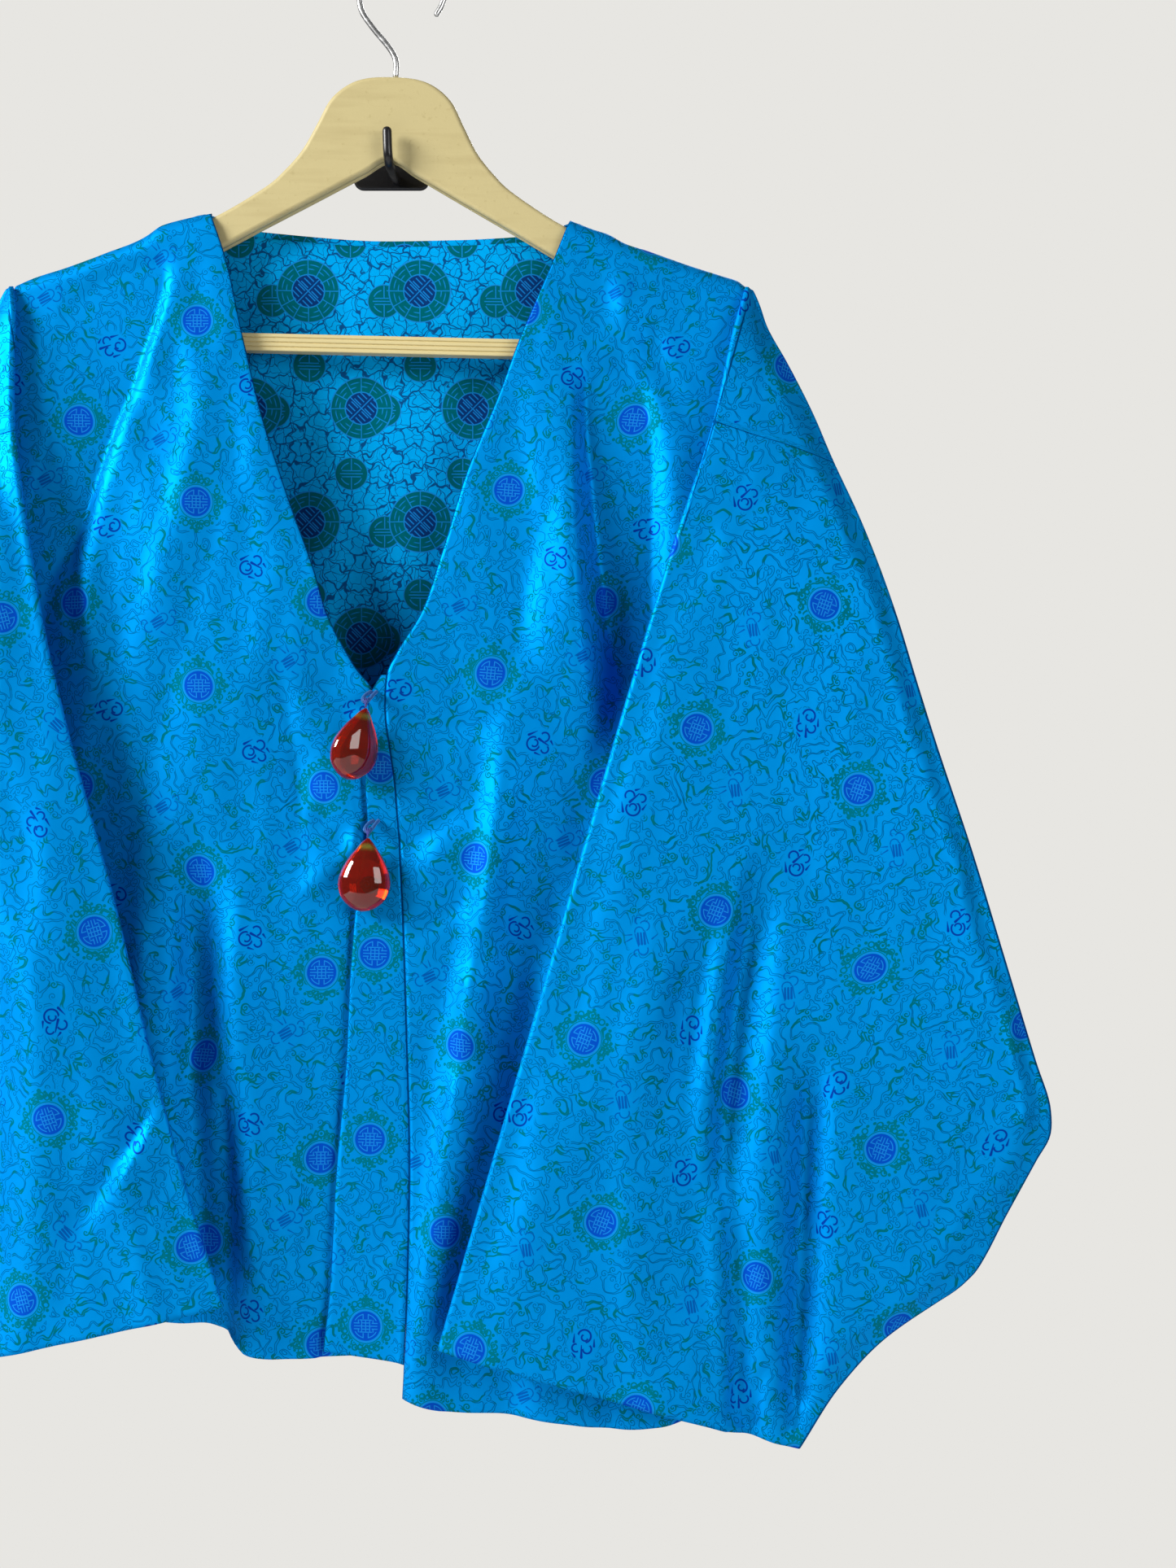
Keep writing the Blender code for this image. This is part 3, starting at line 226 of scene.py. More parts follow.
# Rows of the fronts and the back: how far down the armhole, then down the side seam, and how far down the
# front edge from the neck.
BODY_ROWS = table(
    "armhole side collar",
    (0, 0, 0), (0.005, 0, 1.2), (0.014, 0, 3.4), (0.03, 0, 9), (0.06, 0, 18), (0.15, 0, 42), (0.315, 0, 86),
    (0.46, 0, 127), (0.62, 0, 168), (0.81, 0, 212), (1, 0, 253), (1, 0.12, 295), (1, 0.26, 345), (1, 0.41, 400),
    (1, 0.56, 460), (1, 0.71, 522), (1, 0.86, 588), (1, 1, 0),
)
# Depth of the cloth's outer face along the armhole, for the front and the back, by how far down it is.
ARMHOLE_DEPTHS = table(
    "step front back",
    (0, -44, -27), (0.06, -44.6, -26.4), (0.15, -47, -25), (0.315, -50.5, -24), (0.46, -51.5, -23.5),
    (0.62, -50.5, -24.5), (0.81, -47, -30), (1, -41.9, -38.1),
)
# Left sleeve's outer edge, by how far down the sleeve it is: the bias fold above, the underarm seam below.
SLEEVE_OUTLINE = table(
    "down depth",
    (0, 3), (8, 10), (20, 18.5), (35, 33.5), (58.6, 55.3), (81, 73.3), (108, 96.3), (132, 114.7), (155, 130.8),
    (187.5, 151.6), (212, 167.5), (270, 206.7), (315, 235.5), (369, 270), (391, 284.3), (405, 288),
    (420, 284.5), (452, 277), (487, 269), (500, 261), (508.5, 253.5), (536, 231), (565.6, 215.6),
    (604.3, 203.5),
)
# How far the top fold of each sleeve strays outward from a straight line.
FOLD_LEFT = table(
    "down out",
    (0, 0), (25, 0), (86, 3.5), (153, 1), (250, 0), (605, 0),
)
FOLD_RIGHT = table(
    "down out",
    (0, 0), (16, 0.5), (37, 4.5), (83, 12.5), (147, 15.5), (208, 17), (253, 15.5), (350, 10), (432, 8.5),
    (509, 5.4), (572, 0),
)
# How far forward each sleeve's top fold and its outer edge hang, and half its thickness between them.
DEPTHS_LEFT = table(
    "down fold outer half",
    (0, -50, -39, 3), (16, -54.5, -41, 4.5), (39, -59.5, -43, 6), (80, -67, -46.5, 7.5), (117, -72, -50, 8.5),
    (200, -79, -56, 9), (300, -84, -62, 9), (450, -88, -69, 9.5), (605, -88, -74, 9),
)
DEPTHS_RIGHT = table(
    "down fold outer half",
    (0, -49, -39, 3), (16, -52.5, -41, 4), (39, -55.5, -43, 5), (80, -62, -46.5, 7), (117, -69, -50, 8.5),
    (200, -78, -56, 9), (300, -84, -62, 9), (430, -88, -69, 9.5), (572, -88, -74, 9),
)

FOLDS_FRONT_LEFT = fold_table(
    (146, -40, 167, -75, 170, -150, 10, 10, -4.5, 1, 1, 1),
    (70, -235, 48, -420, 16, -660, 11, 11, 6, 1, 1, 0),
    (92, -330, 76, -500, 60, -676, 15, 15, -5, 1, 1, 0),
    (115, -80, 122, -190, 134, -345, 14, 24, -21, 1.4, 1, 1),
    (94, -80, 98, -200, 106, -335, 16, 8, 6, 0.9, 1, 1),
    (128, -60, 150, -100, 172, -150, 7, 10, -3.4, 0.9, 1, 1),
    (118, -38, 132, -90, 136, -190, 7, 12, 2.6, 0.8, 1, 1),
    (182, -62, 186, -130, 176, -230, 6, 5, -3, 0.9, 1, 1),
    (57, -304, 52, -380, 46, -415, 4, 12, 2.8, 0.55, 1, 1),
    (46, -415, 39, -450, 37, -478, 4, 11, 3.2, 0.55, 1, 1),
    (37, -478, 28, -525, 10, -645, 4, 12, 3.4, 0.55, 1, 0),
    (-8, -357, 20, -353, 36, -326, 8, 9, -2.8, 1, 0, 1),
    (2, -374, 26, -368, 52, -338, 8, 8, 1.2, 1, 1, 1),
    (4, -415, 24, -402, 46, -384, 5, 9, -2, 0.9, 1, 1),
    (2, -285, 24, -296, 60, -296, 7, 7, -1.8, 1, 0, 1),
    (70, -120, 82, -190, 78, -280, 8, 12, 1.8, 0.9, 1, 1),
    (60, -180, 66, -240, 60, -300, 6, 9, -1.4, 1, 1, 1),
    (88, -395, 80, -500, 66, -640, 5, 9, 2.4, 0.7, 1, 0),
    (122, -420, 120, -540, 118, -676, 8, 10, -3.5, 0.9, 1, 0),
    (150, -420, 152, -540, 150, -676, 8, 10, 3, 0.9, 1, 0),
    (190, -440, 188, -540, 186, -660, 9, 9, -3, 0.9, 1, 0),
    (-12, -600, 0, -590, 9, -570, 4, 5, 1.6, 0.6, 1, 1),

)
FOLDS_FRONT_RIGHT = fold_table(
    (-130, -30, -174, -125, -184, -290, 14, 14, -9.5, 1, 1, 1),
    (-146, -105, -170, -180, -158, -320, 10, 10, 4.5, 1, 1, 1),
    (-112, -340, -110, -480, -104, -624, 9, 9, -7.5, 1, 1, 0),
    (-92, -330, -78, -480, -74, -636, 10, 10, 4.5, 1, 1, 0),
    (-64, -250, -54, -313, -46, -380, 11, 11, -3.2, 1, 1, 1),
    (-160, -260, -158, -420, -165, -615, 16, 16, -6, 1, 1, 0),
    (-128, -22, -154, -112, -190, -240, 25, 6, -13, 0.8, 1, 1),
    (-178, -140, -194, -200, -200, -290, 16, 8, -9, 1.2, 1, 1),
    (-120, -34, -132, -78, -146, -118, 5, 13, 2.6, 0.7, 1, 1),
    (-142, -112, -160, -146, -176, -196, 5, 11, 2.6, 0.6, 1, 1),
    (-176, -196, -184, -232, -172, -280, 5, 11, 2.6, 0.6, 1, 1),
    (-118, -46, -112, -130, -124, -240, 10, 12, 1.8, 1, 1, 1),
    (-108, -345, -100, -440, -95, -495, 14, 5, -7.5, 0.8, 1, 1),
    (-97, -470, -90, -545, -91, -626, 14, 5, -7.5, 0.8, 1, 0),
    (-97, -380, -88, -450, -84, -500, 6, 9, 1.8, 0.8, 1, 1),
    (-66, -254, -58, -300, -50, -370, 9, 6, -2.6, 0.9, 1, 1),
    (-49, -346, -34, -350, -24, -368, 8, 9, -3.2, 0.9, 1, 1),
    (-60, -396, -40, -380, -20, -362, 5, 7, 1.6, 0.9, 1, 0),
    (-16, -286, -34, -282, -56, -262, 6, 6, -1.8, 0.9, 0, 1),
    (-60, -420, -56, -520, -52, -634, 9, 9, 1.4, 1, 1, 0),
    (-140, -330, -138, -460, -140, -615, 8, 8, 2.8, 0.8, 1, 0),
    (-190, -330, -192, -460, -196, -612, 10, 8, -3.4, 0.9, 1, 0),
    (-88, -120, -84, -180, -76, -240, 9, 9, -1.2, 1, 1, 1),

)
FOLDS_BACK = fold_table(
    (-60, -60, -80, -300, -95, -630, 20, 20, 5, 1, 1, 0),
    (62, -60, 78, -300, 90, -640, 20, 20, 5, 1, 1, 0),
    (0, -120, 0, -360, -2, -634, 22, 22, -4, 1, 1, 0),
    (150, -70, 168, -250, 160, -640, 17, 17, -6, 1, 1, 0),
    (-160, -70, -176, -250, -170, -620, 17, 17, -6, 1, 1, 0),
    (118, -60, 124, -300, 126, -640, 14, 14, 3.5, 1, 1, 0),
    (-128, -60, -134, -300, -134, -630, 14, 14, 3.5, 1, 1, 0),
    (-28, -150, -34, -380, -40, -632, 9, 12, 2.2, 0.9, 1, 0),
    (34, -170, 40, -400, 44, -636, 12, 9, 2.2, 0.9, 1, 0),
    (96, -90, 104, -330, 106, -640, 8, 10, -3, 0.9, 1, 0),
    (-98, -90, -108, -330, -112, -630, 10, 8, -3, 0.9, 1, 0),
    (-146, -300, -150, -450, -152, -620, 7, 9, 2.6, 0.7, 1, 0),
    (140, -300, 146, -470, 148, -640, 9, 7, 2.6, 0.7, 1, 0),
    (-60, -24, -80, -80, -120, -170, 9, 9, -1.8, 1, 1, 1),
    (70, -26, 92, -80, 128, -180, 9, 9, -1.8, 1, 1, 1),
    (-190, -200, -196, -400, -206, -612, 8, 8, 2.4, 0.8, 1, 0),
    (192, -200, 196, -400, 200, -655, 8, 8, 2.4, 0.8, 1, 0),
    (-8, -300, -14, -460, -18, -634, 8, 8, -1.6, 1, 1, 0),

)
# Folds of the sleeves, by how far out from the top fold and how far down they are.
FOLDS_SLEEVE_LEFT = fold_table(
    (80, 300, 90, 430, 160, 596, 11, 11, -6.5, 1, 1, 0),
    (62, 290, 62, 440, 118, 596, 13, 13, 4.5, 1, 1, 0),
    (150, 395, 168, 480, 192, 575, 9, 9, -5.5, 1, 1, 0),
    (120, 330, 140, 460, 176, 590, 9, 9, 3.5, 1, 1, 0),
    (175, 560, 172, 575, 174, 598, 4, 4, -3, 1, 1, 0),
    (215, 300, 205, 380, 225, 470, 22, 22, 3, 1, 1, 1),
    (80, 270, 95, 410, 119, 505, 14, 5, 5.5, 0.8, 1, 1),
    (108, 455, 140, 548, 160, 602, 14, 5, 5.5, 0.8, 1, 0),
    (94, 270, 108, 410, 132, 502, 7, 14, -8.5, 1, 1, 1),
    (120, 450, 152, 545, 174, 602, 7, 13, -8.5, 1, 1, 0),
    (148, 380, 164, 455, 180, 516, 10, 6, -8, 0.9, 1, 1),
    (172, 474, 187, 546, 198, 592, 10, 6, -7.5, 0.9, 1, 0),
    (158, 545, 158, 570, 160, 600, 3, 4, -1.8, 0.8, 1, 0),
    (30, 30, 26, 90, 30, 150, 7, 9, -2.4, 0.9, 1, 1),
    (36, 60, 56, 140, 96, 230, 10, 12, 1.5, 1, 1, 1),
    (112, 180, 134, 300, 150, 380, 12, 16, -1.8, 1, 1, 1),
    (40, 420, 44, 500, 60, 600, 9, 9, 1.4, 1, 1, 0),
    (236, 330, 244, 380, 262, 440, 7, 7, -1.6, 0.8, 1, 1),
    (268, 400, 262, 404, 240, 420, 4, 4, 1.8, 0.6, 0, 1),
    (262, 430, 250, 462, 246, 500, 6, 3, 1.4, 0.7, 1, 1),
    (246, 505, 240, 497, 222, 492, 3, 3, 1.4, 0.6, 0, 1),

)
FOLDS_SLEEVE_RIGHT = fold_table(
    (4, 452, 40, 484, 76, 524, 7, 7, -4, 1, 0, 1),
    (90, 300, 96, 430, 150, 572, 12, 12, -6, 1, 1, 0),
    (66, 320, 70, 440, 112, 572, 13, 13, 4, 1, 1, 0),
    (150, 380, 165, 470, 186, 560, 10, 10, -5, 1, 1, 0),
    (205, 320, 200, 390, 220, 460, 22, 22, 3, 1, 1, 1),
    (0, 448, 22, 476, 62, 520, 3, 8, 4.2, 0.55, 0, 1),
    (-2, 470, 14, 492, 40, 530, 5, 5, -2.2, 0.8, 0, 1),
    (22, 470, 30, 520, 26, 568, 5, 9, -2, 0.9, 1, 0),
    (40, 60, 62, 160, 70, 260, 12, 14, 1.5, 1, 1, 1),
    (92, 290, 100, 420, 136, 566, 10, 12, -6.5, 0.8, 1, 0),
    (110, 400, 128, 480, 160, 566, 7, 8, 2, 0.7, 1, 0),
    (160, 380, 174, 460, 190, 556, 7, 8, -2.4, 0.8, 1, 0),
    (26, 30, 24, 80, 28, 140, 6, 8, -2.2, 0.9, 1, 1),
    (66, 120, 84, 260, 88, 330, 9, 14, -1.4, 1, 1, 1),

)
# Folds behind each sleeve, between the armhole and the outer edge.
FOLDS_SLEEVE_BEHIND = fold_table(
    (110, 190, 130, 300, 150, 596, 14, 14, 4, 1, 1, 0),
    (60, 260, 60, 420, 60, 596, 18, 18, -3, 1, 1, 0),
    (90, 300, 96, 440, 110, 596, 8, 10, -2.4, 0.8, 1, 0),
    (150, 330, 166, 460, 190, 580, 8, 10, 2.6, 0.7, 1, 0),
    (30, 320, 30, 440, 34, 596, 9, 9, 2, 0.9, 1, 0),
    (60, 60, 84, 160, 110, 250, 10, 10, -2, 1, 1, 1),

)
# Slow swells of hanging cloth: how far apart they are across and down, how high, and where they start.
SWELLS = table(
    "across down rise start",
    (61, 310, 0.55, 0.4), (-43, 220, 0.4, 2.1), (97, -170, 0.5, 3.7), (-29, 130, 0.22, 5.2),
    (23, 90, 0.14, 1.3), (17, -61, 0.08, 4.4),
)

# Where a medallion of the pattern lies on each panel, and how far the panel's warp leans.
Place = namedtuple("Place", "x z turn")
PATTERN_PLACKET = Place(-9.6, -420.1, math.radians(-1.5))
PATTERN_BACK = Place(3.0, -162.0, 0.0)
PATTERN_LINING = Place(-51.3, -49.1, 0.0)

Side = namedtuple(
    "Side",
    "word edge shoulder hem folds pattern length lean fold depths sleeve_folds sleeve_pattern",
)
SIDES = {
    1: Side(
        "left", FRONT_LEFT_EDGE, SHOULDER_LEFT, HEM_LEFT, FOLDS_FRONT_LEFT,
        Place(47.8, -368.1, math.radians(-4.5)), SLEEVE_TABLE_LENGTH, math.radians(16.17),
        FOLD_LEFT, DEPTHS_LEFT, FOLDS_SLEEVE_LEFT, Place(79.7, 337.7, 0.07),
    ),
    -1: Side(
        "right", FRONT_RIGHT_EDGE, SHOULDER_RIGHT, HEM_RIGHT, FOLDS_FRONT_RIGHT,
        Place(-110.8, -375.3, 0.0), 571.7, math.radians(12.6),
        FOLD_RIGHT, DEPTHS_RIGHT, FOLDS_SLEEVE_RIGHT, Place(24.9, 361.0, 0.08),
    ),
}

# One arm of the hanger, along its top and along its underside, from its middle to its tip.
HANGER_TOP = table(
    "x z",
    (0, 67), (14, 66), (24.5, 62), (34, 53.5), (41, 40), (48.8, 25.5), (58.4, 13.8), (70, 3.4), (99, -14.4),
    (135, -29.5), (160, -41), (178, -48.5), (187, -55),
)
HANGER_LOW = table(
    "x z",
    (0, 20.5), (14, 12.8), (24.5, 7), (41, -2.2), (58.4, -11.8), (70, -18.2), (100, -35), (135, -53),
    (160.3, -70), (160.3, -92), (177, -92), (187, -80),
)
WIRE_ROUTE = (
    (-2.1, 67.4), (-2.1, 77.0), (-6.0, 84.5), (-15.5, 95.5), (-22.4, 106.0),
)
PEG_ROUTE = (
    (-3.6, -1.5, 20.5), (-3.6, -16.0, 18.6), (-3.7, -30.0, 17.1), (-3.8, -42.0, 17.1), (-4.0, -46.6, 19.4),
    (-4.3, -48.2, 24.0), (-4.6, -48.4, 34.0),
)
# Drop button, turned and flattened.
BUTTON_PROFILE = table(
    "down half_width",
    (0, 0.6), (2, 2.7), (6, 5.8), (12, 9.9), (18, 12.8), (24.5, 14.25), (31, 13), (36, 9.2), (39.2, 4),
    (40, 0.5),
)
BUTTONS = table(
    "name x z tilt turned",
    ("upper", -13.6, -286.5, math.radians(15.0), math.radians(38.0)),
    ("lower", -12.6, -357.0, math.radians(5.0), math.radians(4.0)),
)

# Brush-like ornaments, in millimetres from their middles. A stroke tapers from half to end, and an arc is open
# where it passes its cut.
Stroke = namedtuple("Stroke", "x0 y0 x1 y1 half end")
Arc = namedtuple("Arc", "x y radius half open_x open_y cut")
CURL_ORNAMENT = (
    Arc(-3.2, -0.6, 3.7, 0.5, 1.0, 0.5, 2.6), Arc(-2.6, -0.3, 1.9, 0.46, -1.0, 0.3, 0.9),
    Arc(2.8, 3.4, 2.5, 0.48, -1.0, -0.6, 0.9), Arc(3.6, -3.2, 2.1, 0.46, -0.6, 1.0, 0.7),
    Stroke(-0.4, 2.2, 5.4, -1.0, 0.72, 0.3), Stroke(-6.4, 4.0, -1.8, 6.4, 0.72, 0.15),
    Stroke(-1.8, -5.6, 1.4, -6.6, 0.6, 0.15), Stroke(6.6, 1.4, 8.0, -0.6, 0.6, 0.2),
)
WAVE_ORNAMENT = (
    Arc(4.2, 0.8, 3.4, 0.5, -1.0, 0.5, 1.9), Arc(3.5, 0.4, 1.7, 0.46, 1.0, -0.4, 0.7),
    Arc(-1.8, -2.8, 2.3, 0.48, 0.8, 0.8, 1.1), Arc(-3.2, 3.0, 2.1, 0.46, 0.6, -1.0, 0.8),
    Stroke(-7.0, -1.4, -1.0, 0.7, 0.72, 0.25), Stroke(-0.6, 5.2, 3.6, 6.3, 0.66, 0.15),
    Stroke(0.8, -5.8, 4.4, -4.6, 0.62, 0.2), Stroke(-7.8, 2.0, -6.4, 4.2, 0.6, 0.2),
)
RIBBON_ORNAMENT = (
    Stroke(-3.6, 0.0, 1.6, 2.6, 0.62, 0.5), Stroke(-2.9, -1.5, 2.3, 1.1, 0.62, 0.5),
    Stroke(-2.2, -3.0, 3.0, -0.4, 0.62, 0.5), Stroke(-4.6, -0.2, 0.8, 3.9, 0.28, 0.28),
    Stroke(-1.4, -4.6, 4.2, -0.4, 0.28, 0.28), Arc(2.8, 2.2, 2.4, 0.3, -0.8, -0.5, 0.2),
    Arc(-5.4, -3.2, 2.6, 0.32, 0.9, 0.5, 0.8), Arc(-8.2, -0.8, 1.7, 0.32, 0.2, -1.0, 0.3),
    Arc(6.6, 0.6, 2.6, 0.32, -0.9, 0.5, 0.8), Arc(8.0, 4.6, 1.8, 0.32, -0.2, -1.0, 0.4),
    Stroke(-2.0, 4.6, -5.6, 7.6, 0.42, 0.15), Stroke(-0.2, 5.4, -1.8, 8.8, 0.36, 0.15),
    Stroke(1.6, -5.6, 5.2, -7.6, 0.42, 0.15),
)
# Where each ornament lies, in shares of the repeat.
ORNAMENTS = (
    (-0.366, -0.132, WAVE_ORNAMENT),
    (0.223, -0.353, CURL_ORNAMENT),
    (-0.153, 0.347, RIBBON_ORNAMENT),
    (0.366, 0.132, RIBBON_ORNAMENT),
)
# Bars of the medallion's fret: middle and half size, in millimetres.
FRET_BARS = (
    (0.0, 0.0, 0.26, 3.0), (0.0, 0.0, 6.4, 0.26), (0.0, 1.7, 2.0, 0.26), (2.2, 1.5, 0.26, 1.7),
    (0.0, 3.3, 3.4, 0.26), (4.9, 1.6, 1.6, 0.26), (4.0, 2.4, 0.26, 1.1), (1.4, 5.2, 0.26, 1.4),
)


# ---- shape of the cloth


def ease(value):
    """Smooth step from 0 to 1."""
    value = np.clip(value, 0.0, 1.0)
    return value * value * (3.0 - 2.0 * value)


def unit(vectors):
    return vectors / np.maximum(np.linalg.norm(vectors, axis=-1, keepdims=True), 1e-9)


def read(rows, at, column=1):
    """Reads a column of a table, eased between its rows, where the first column has this value."""
    keys, values = (np.array([row[number] for row in rows], float) for number in (0, column))
    if keys[0] > keys[-1]:
        keys, values = keys[::-1], values[::-1]
    slopes = np.gradient(values, keys)
    at = np.clip(np.asarray(at, float), keys[0], keys[-1])
    left = np.clip(np.searchsorted(keys, at, side="right") - 1, 0, len(keys) - 2)
    step = keys[left + 1] - keys[left]
    part = (at - keys[left]) / step
    limit = 1.5 * np.abs((values[left + 1] - values[left]) / step)
    start, end = (np.clip(slopes[near], -limit, limit) for near in (left, left + 1))
    square, cube = part**2, part**3
    return (
        values[left] * (2 * cube - 3 * square + 1)
        + step * start * (cube - 2 * square + part)
        + values[left + 1] * (3 * square - 2 * cube)
        + step * end * (cube - square)
    )


def lift(across, down, folds, turn=1.0):
    """How far the folds lift the cloth out, at points of it."""
    across, down = np.broadcast_arrays(np.asarray(across, float), np.asarray(down, float))
    total = np.zeros(across.shape)
    steps = np.linspace(0.0, 1.0, FOLD_PARTS + 1)
    for fold in folds:
        line_x, line_z = (
            (1 - steps) ** 2 * start + 2 * steps * (1 - steps) * (2 * middle - (start + end) / 2) + steps**2 * end
            for start, middle, end in ((fold.x0, fold.xm, fold.x1), (fold.z0, fold.zm, fold.z1))
        )
        nearest = np.full(across.shape, 1e9)
        part, side = np.zeros(across.shape), np.zeros(across.shape)
        for number, (x, z, way_x, way_z) in enumerate(zip(line_x, line_z, np.diff(line_x), np.diff(line_z))):
            off_x, off_z = across - x, down - z
            along = np.clip((off_x * way_x + off_z * way_z) / (way_x**2 + way_z**2), 0.0, 1.0)
            off_x, off_z = off_x - along * way_x, off_z - along * way_z
            apart = off_x**2 + off_z**2
            closer = apart < nearest
            nearest = np.where(closer, apart, nearest)
            part = np.where(closer, (number + along) / FOLD_PARTS, part)
            side = np.where(closer, way_x * off_z - way_z * off_x, side)
        width = np.where(side * turn > 0, fold.plus, fold.minus)
        strength = np.exp(-((nearest / width**2) ** fold.sharp))
        for fades, share in ((fold.fade_in, part), (fold.fade_out, 1 - part)):
            strength = strength * (ease(share / FOLD_FADE) if fades else 1.0)
        total += fold.rise * strength
    return total


def swell(across, down, seed):
    """Slow unevenness of hanging cloth."""
    return sum(
        wave.rise * np.sin(2 * math.pi * (across / wave.across + down / wave.down) + wave.start * seed)
        for wave in SWELLS
    )


def armhole_point(side, step):
    """The armhole's line from the shoulder tip down to the underarm, seen from the front."""
    tip = SIDES[side].shoulder[-1]
    return tip.x + side * ARMHOLE_SPREAD * step, tip.z - ARMHOLE_DROP * step


def outer_edge(side, row):
    """Where a row of the body ends: on the armhole or on the side seam."""
    x, z = armhole_point(side, row.armhole)
    bottom = SIDES[side].hem[-1]
    return x + (bottom.x - x) * row.side, z + (bottom.z - z) * row.side


def over_shoulder(drop):
    """How far the cloth has come forward, or back, as it turns over the hanger."""
    left = SHOULDER_ROUND - np.clip(drop, 0.0, SHOULDER_ROUND)
    return np.sqrt(np.maximum(SHOULDER_ROUND**2 - left**2, 0.0))


def sloped(drop, slopes):
    return sum(out * ease((drop - start) / over) for out, start, over in slopes)


def front_depth(side, x, drop):
    """Outer face of the fronts before folds, by the drop from the shoulder. The right one laps under."""
    middle = 2.0 * ease((drop - 120.0) / 200.0) * np.exp(-((x / 90.0) ** 2))
    lap = LAP_STEP * ease((x + 75.0) / 50.0) * ease((drop - 150.0) / 90.0) if side < 0 else 0.0
    return SHOULDER_DEPTH - SEAM_GAP / 2 - over_shoulder(drop) - sloped(drop, FRONT_SLOPES) - middle + lap


def over_hanger(x):
    """1 over the hanger and 0 along the neck."""
    return ease((np.abs(x - HANGER_MIDDLE) - NECK_HALF) / NECK_BLEND)


def back_depth(drop, turn):
    """Outer face of the back before folds."""
    turned = over_shoulder(drop) * turn + (SHOULDER_ROUND + 1.5) * (1 - turn)
    return SHOULDER_DEPTH + SEAM_GAP / 2 + turned + sloped(drop, BACK_SLOPES)


def fine_rows(side, step):
    """Rows of the body this far apart, between those of the table."""
    edge = SIDES[side].edge
    last = BODY_ROWS[-1]._replace(collar=edge[0].z - edge[-1].z)
    spans = [below.collar - above.collar for above, below in zip(BODY_ROWS[:-1], BODY_ROWS[1:-1])] + [HEM_SPAN]
    rows = []
    for above, below, span in zip(BODY_ROWS, BODY_ROWS[1:-1] + (last,), spans):
        count = max(2 if span < 10 else 3, round(span / step))
        for part in np.linspace(0.0, 1.0, count, endpoint=False):
            rows.append(last._make(a + (b - a) * part for a, b in zip(above, below)))
    return rows + [last]


def drop_below(shoulders, x, z, row):
    return np.maximum(read(shoulders, x) - z, 0.0) * (row.collar > 0)


def well_inside(outer, row):
    """0 on the armhole and the side seam, and 1 far from them."""
    reach = SIDE_BLEND * (0.35 + 0.65 * min(1.0, row.armhole * 3.0))
    return 1 - (1 - ease(outer / reach)) * ease(row.armhole / 0.06)


def front_grid(side, columns, step):
    """Outer face of one front, as rows from the shoulder to the hem of points from the front edge out."""
    here = SIDES[side]
    edge, shoulder, hem = here.edge, here.shoulder, here.hem
    across = np.linspace(0.0, 1.0, columns)
    rows, found = fine_rows(side, step), []
    for row in rows:
        inner_z = edge[0].z - row.collar
        inner_x = float(read(edge, inner_z))
        outer_x, outer_z = outer_edge(side, row)
        x = inner_x + (outer_x - inner_x) * across
        z = inner_z + (outer_z - inner_z) * across
        line_x = edge[0].x + (shoulder[-1].x - edge[0].x) * across
        line_z = edge[0].z + (shoulder[-1].z - edge[0].z) * across
        z = z + (read(shoulder, line_x) - line_z) * math.exp(-row.collar / 60.0)
        hem_line = hem[0].z + (hem[-1].z - hem[0].z) * across
        near_hem = math.exp(-(1.0 - row.side) * 5.0) if row.side > 0 else 0.0
        z = z + (read(hem, x) - hem_line) * near_hem
        found.append((x, z, drop_below(shoulder, x, z, row), well_inside(np.abs(outer_x - x), row)))
    x, z, drop, inward = np.array(found).transpose(1, 0, 2)
    y = front_depth(side, x, drop)
    y = y - (lift(x, z, here.folds) + swell(x, z, 1.0 + side * 0.3)) * ease(drop / 40.0)
    before = SHOULDER_DEPTH - HANGER_THICK / 2 - HANGER_CLEAR
    y = np.where(drop > SHOULDER_ROUND, np.minimum(y, before), y)
    edges = read(ARMHOLE_DEPTHS, [row.armhole for row in rows], 1)[:, None]
    return np.stack([x, edges + (y - edges) * inward, z], axis=2), rows


def back_grid(columns, step):
    """Outer face of the back, as rows from the neck and shoulders to the hem, from right to left."""
    across = np.linspace(-1.0, 1.0, columns)
    shoulders = SHOULDER_RIGHT[::-1] + BACK_NECK[1:-1] + SHOULDER_LEFT
    rows, found = fine_rows(1, step), []
    for row in rows:
        right_x, right_z = outer_edge(-1, row)
        left_x, left_z = outer_edge(1, row)
        x = (right_x + left_x) / 2 + (left_x - right_x) / 2 * across
        top = read(shoulders, shoulders[0].x + (across + 1) / 2 * (shoulders[-1].x - shoulders[0].x))
        bottom = read(HEM_BACK, x)
        side_z = right_z + (left_z - right_z) * (across + 1) / 2
        part = (row.armhole * ARMHOLE_DROP + row.side * (BODY_LENGTH - ARMHOLE_DROP)) / BODY_LENGTH
        middle_z = top + (bottom - top) * part
        z = middle_z + (side_z - middle_z) * across**2
        straight = top - row.collar
        straight[0], straight[-1] = right_z, left_z
        z = straight + (z - straight) * ease((row.armhole - 0.03) / 0.03)
        z = z + (bottom - z) * ease((row.side - 0.86) / 0.14)
        outer = np.minimum(np.abs(x - right_x), np.abs(left_x - x))
        found.append((x, z, drop_below(shoulders, x, z, row), well_inside(outer, row)))
    x, z, drop, inward = np.array(found).transpose(1, 0, 2)
    y = back_depth(drop, over_hanger(x)) + (lift(x, z, FOLDS_BACK) + swell(x, z, 2.0)) * ease(drop / 60.0)
    behind = SHOULDER_DEPTH + HANGER_THICK / 2 + HANGER_CLEAR
    y = np.where(drop > SHOULDER_ROUND, np.maximum(y, behind), y)
    edges = read(ARMHOLE_DEPTHS, [row.armhole for row in rows], 2)[:, None]
    return np.stack([x, edges + (y - edges) * inward, z], axis=2)


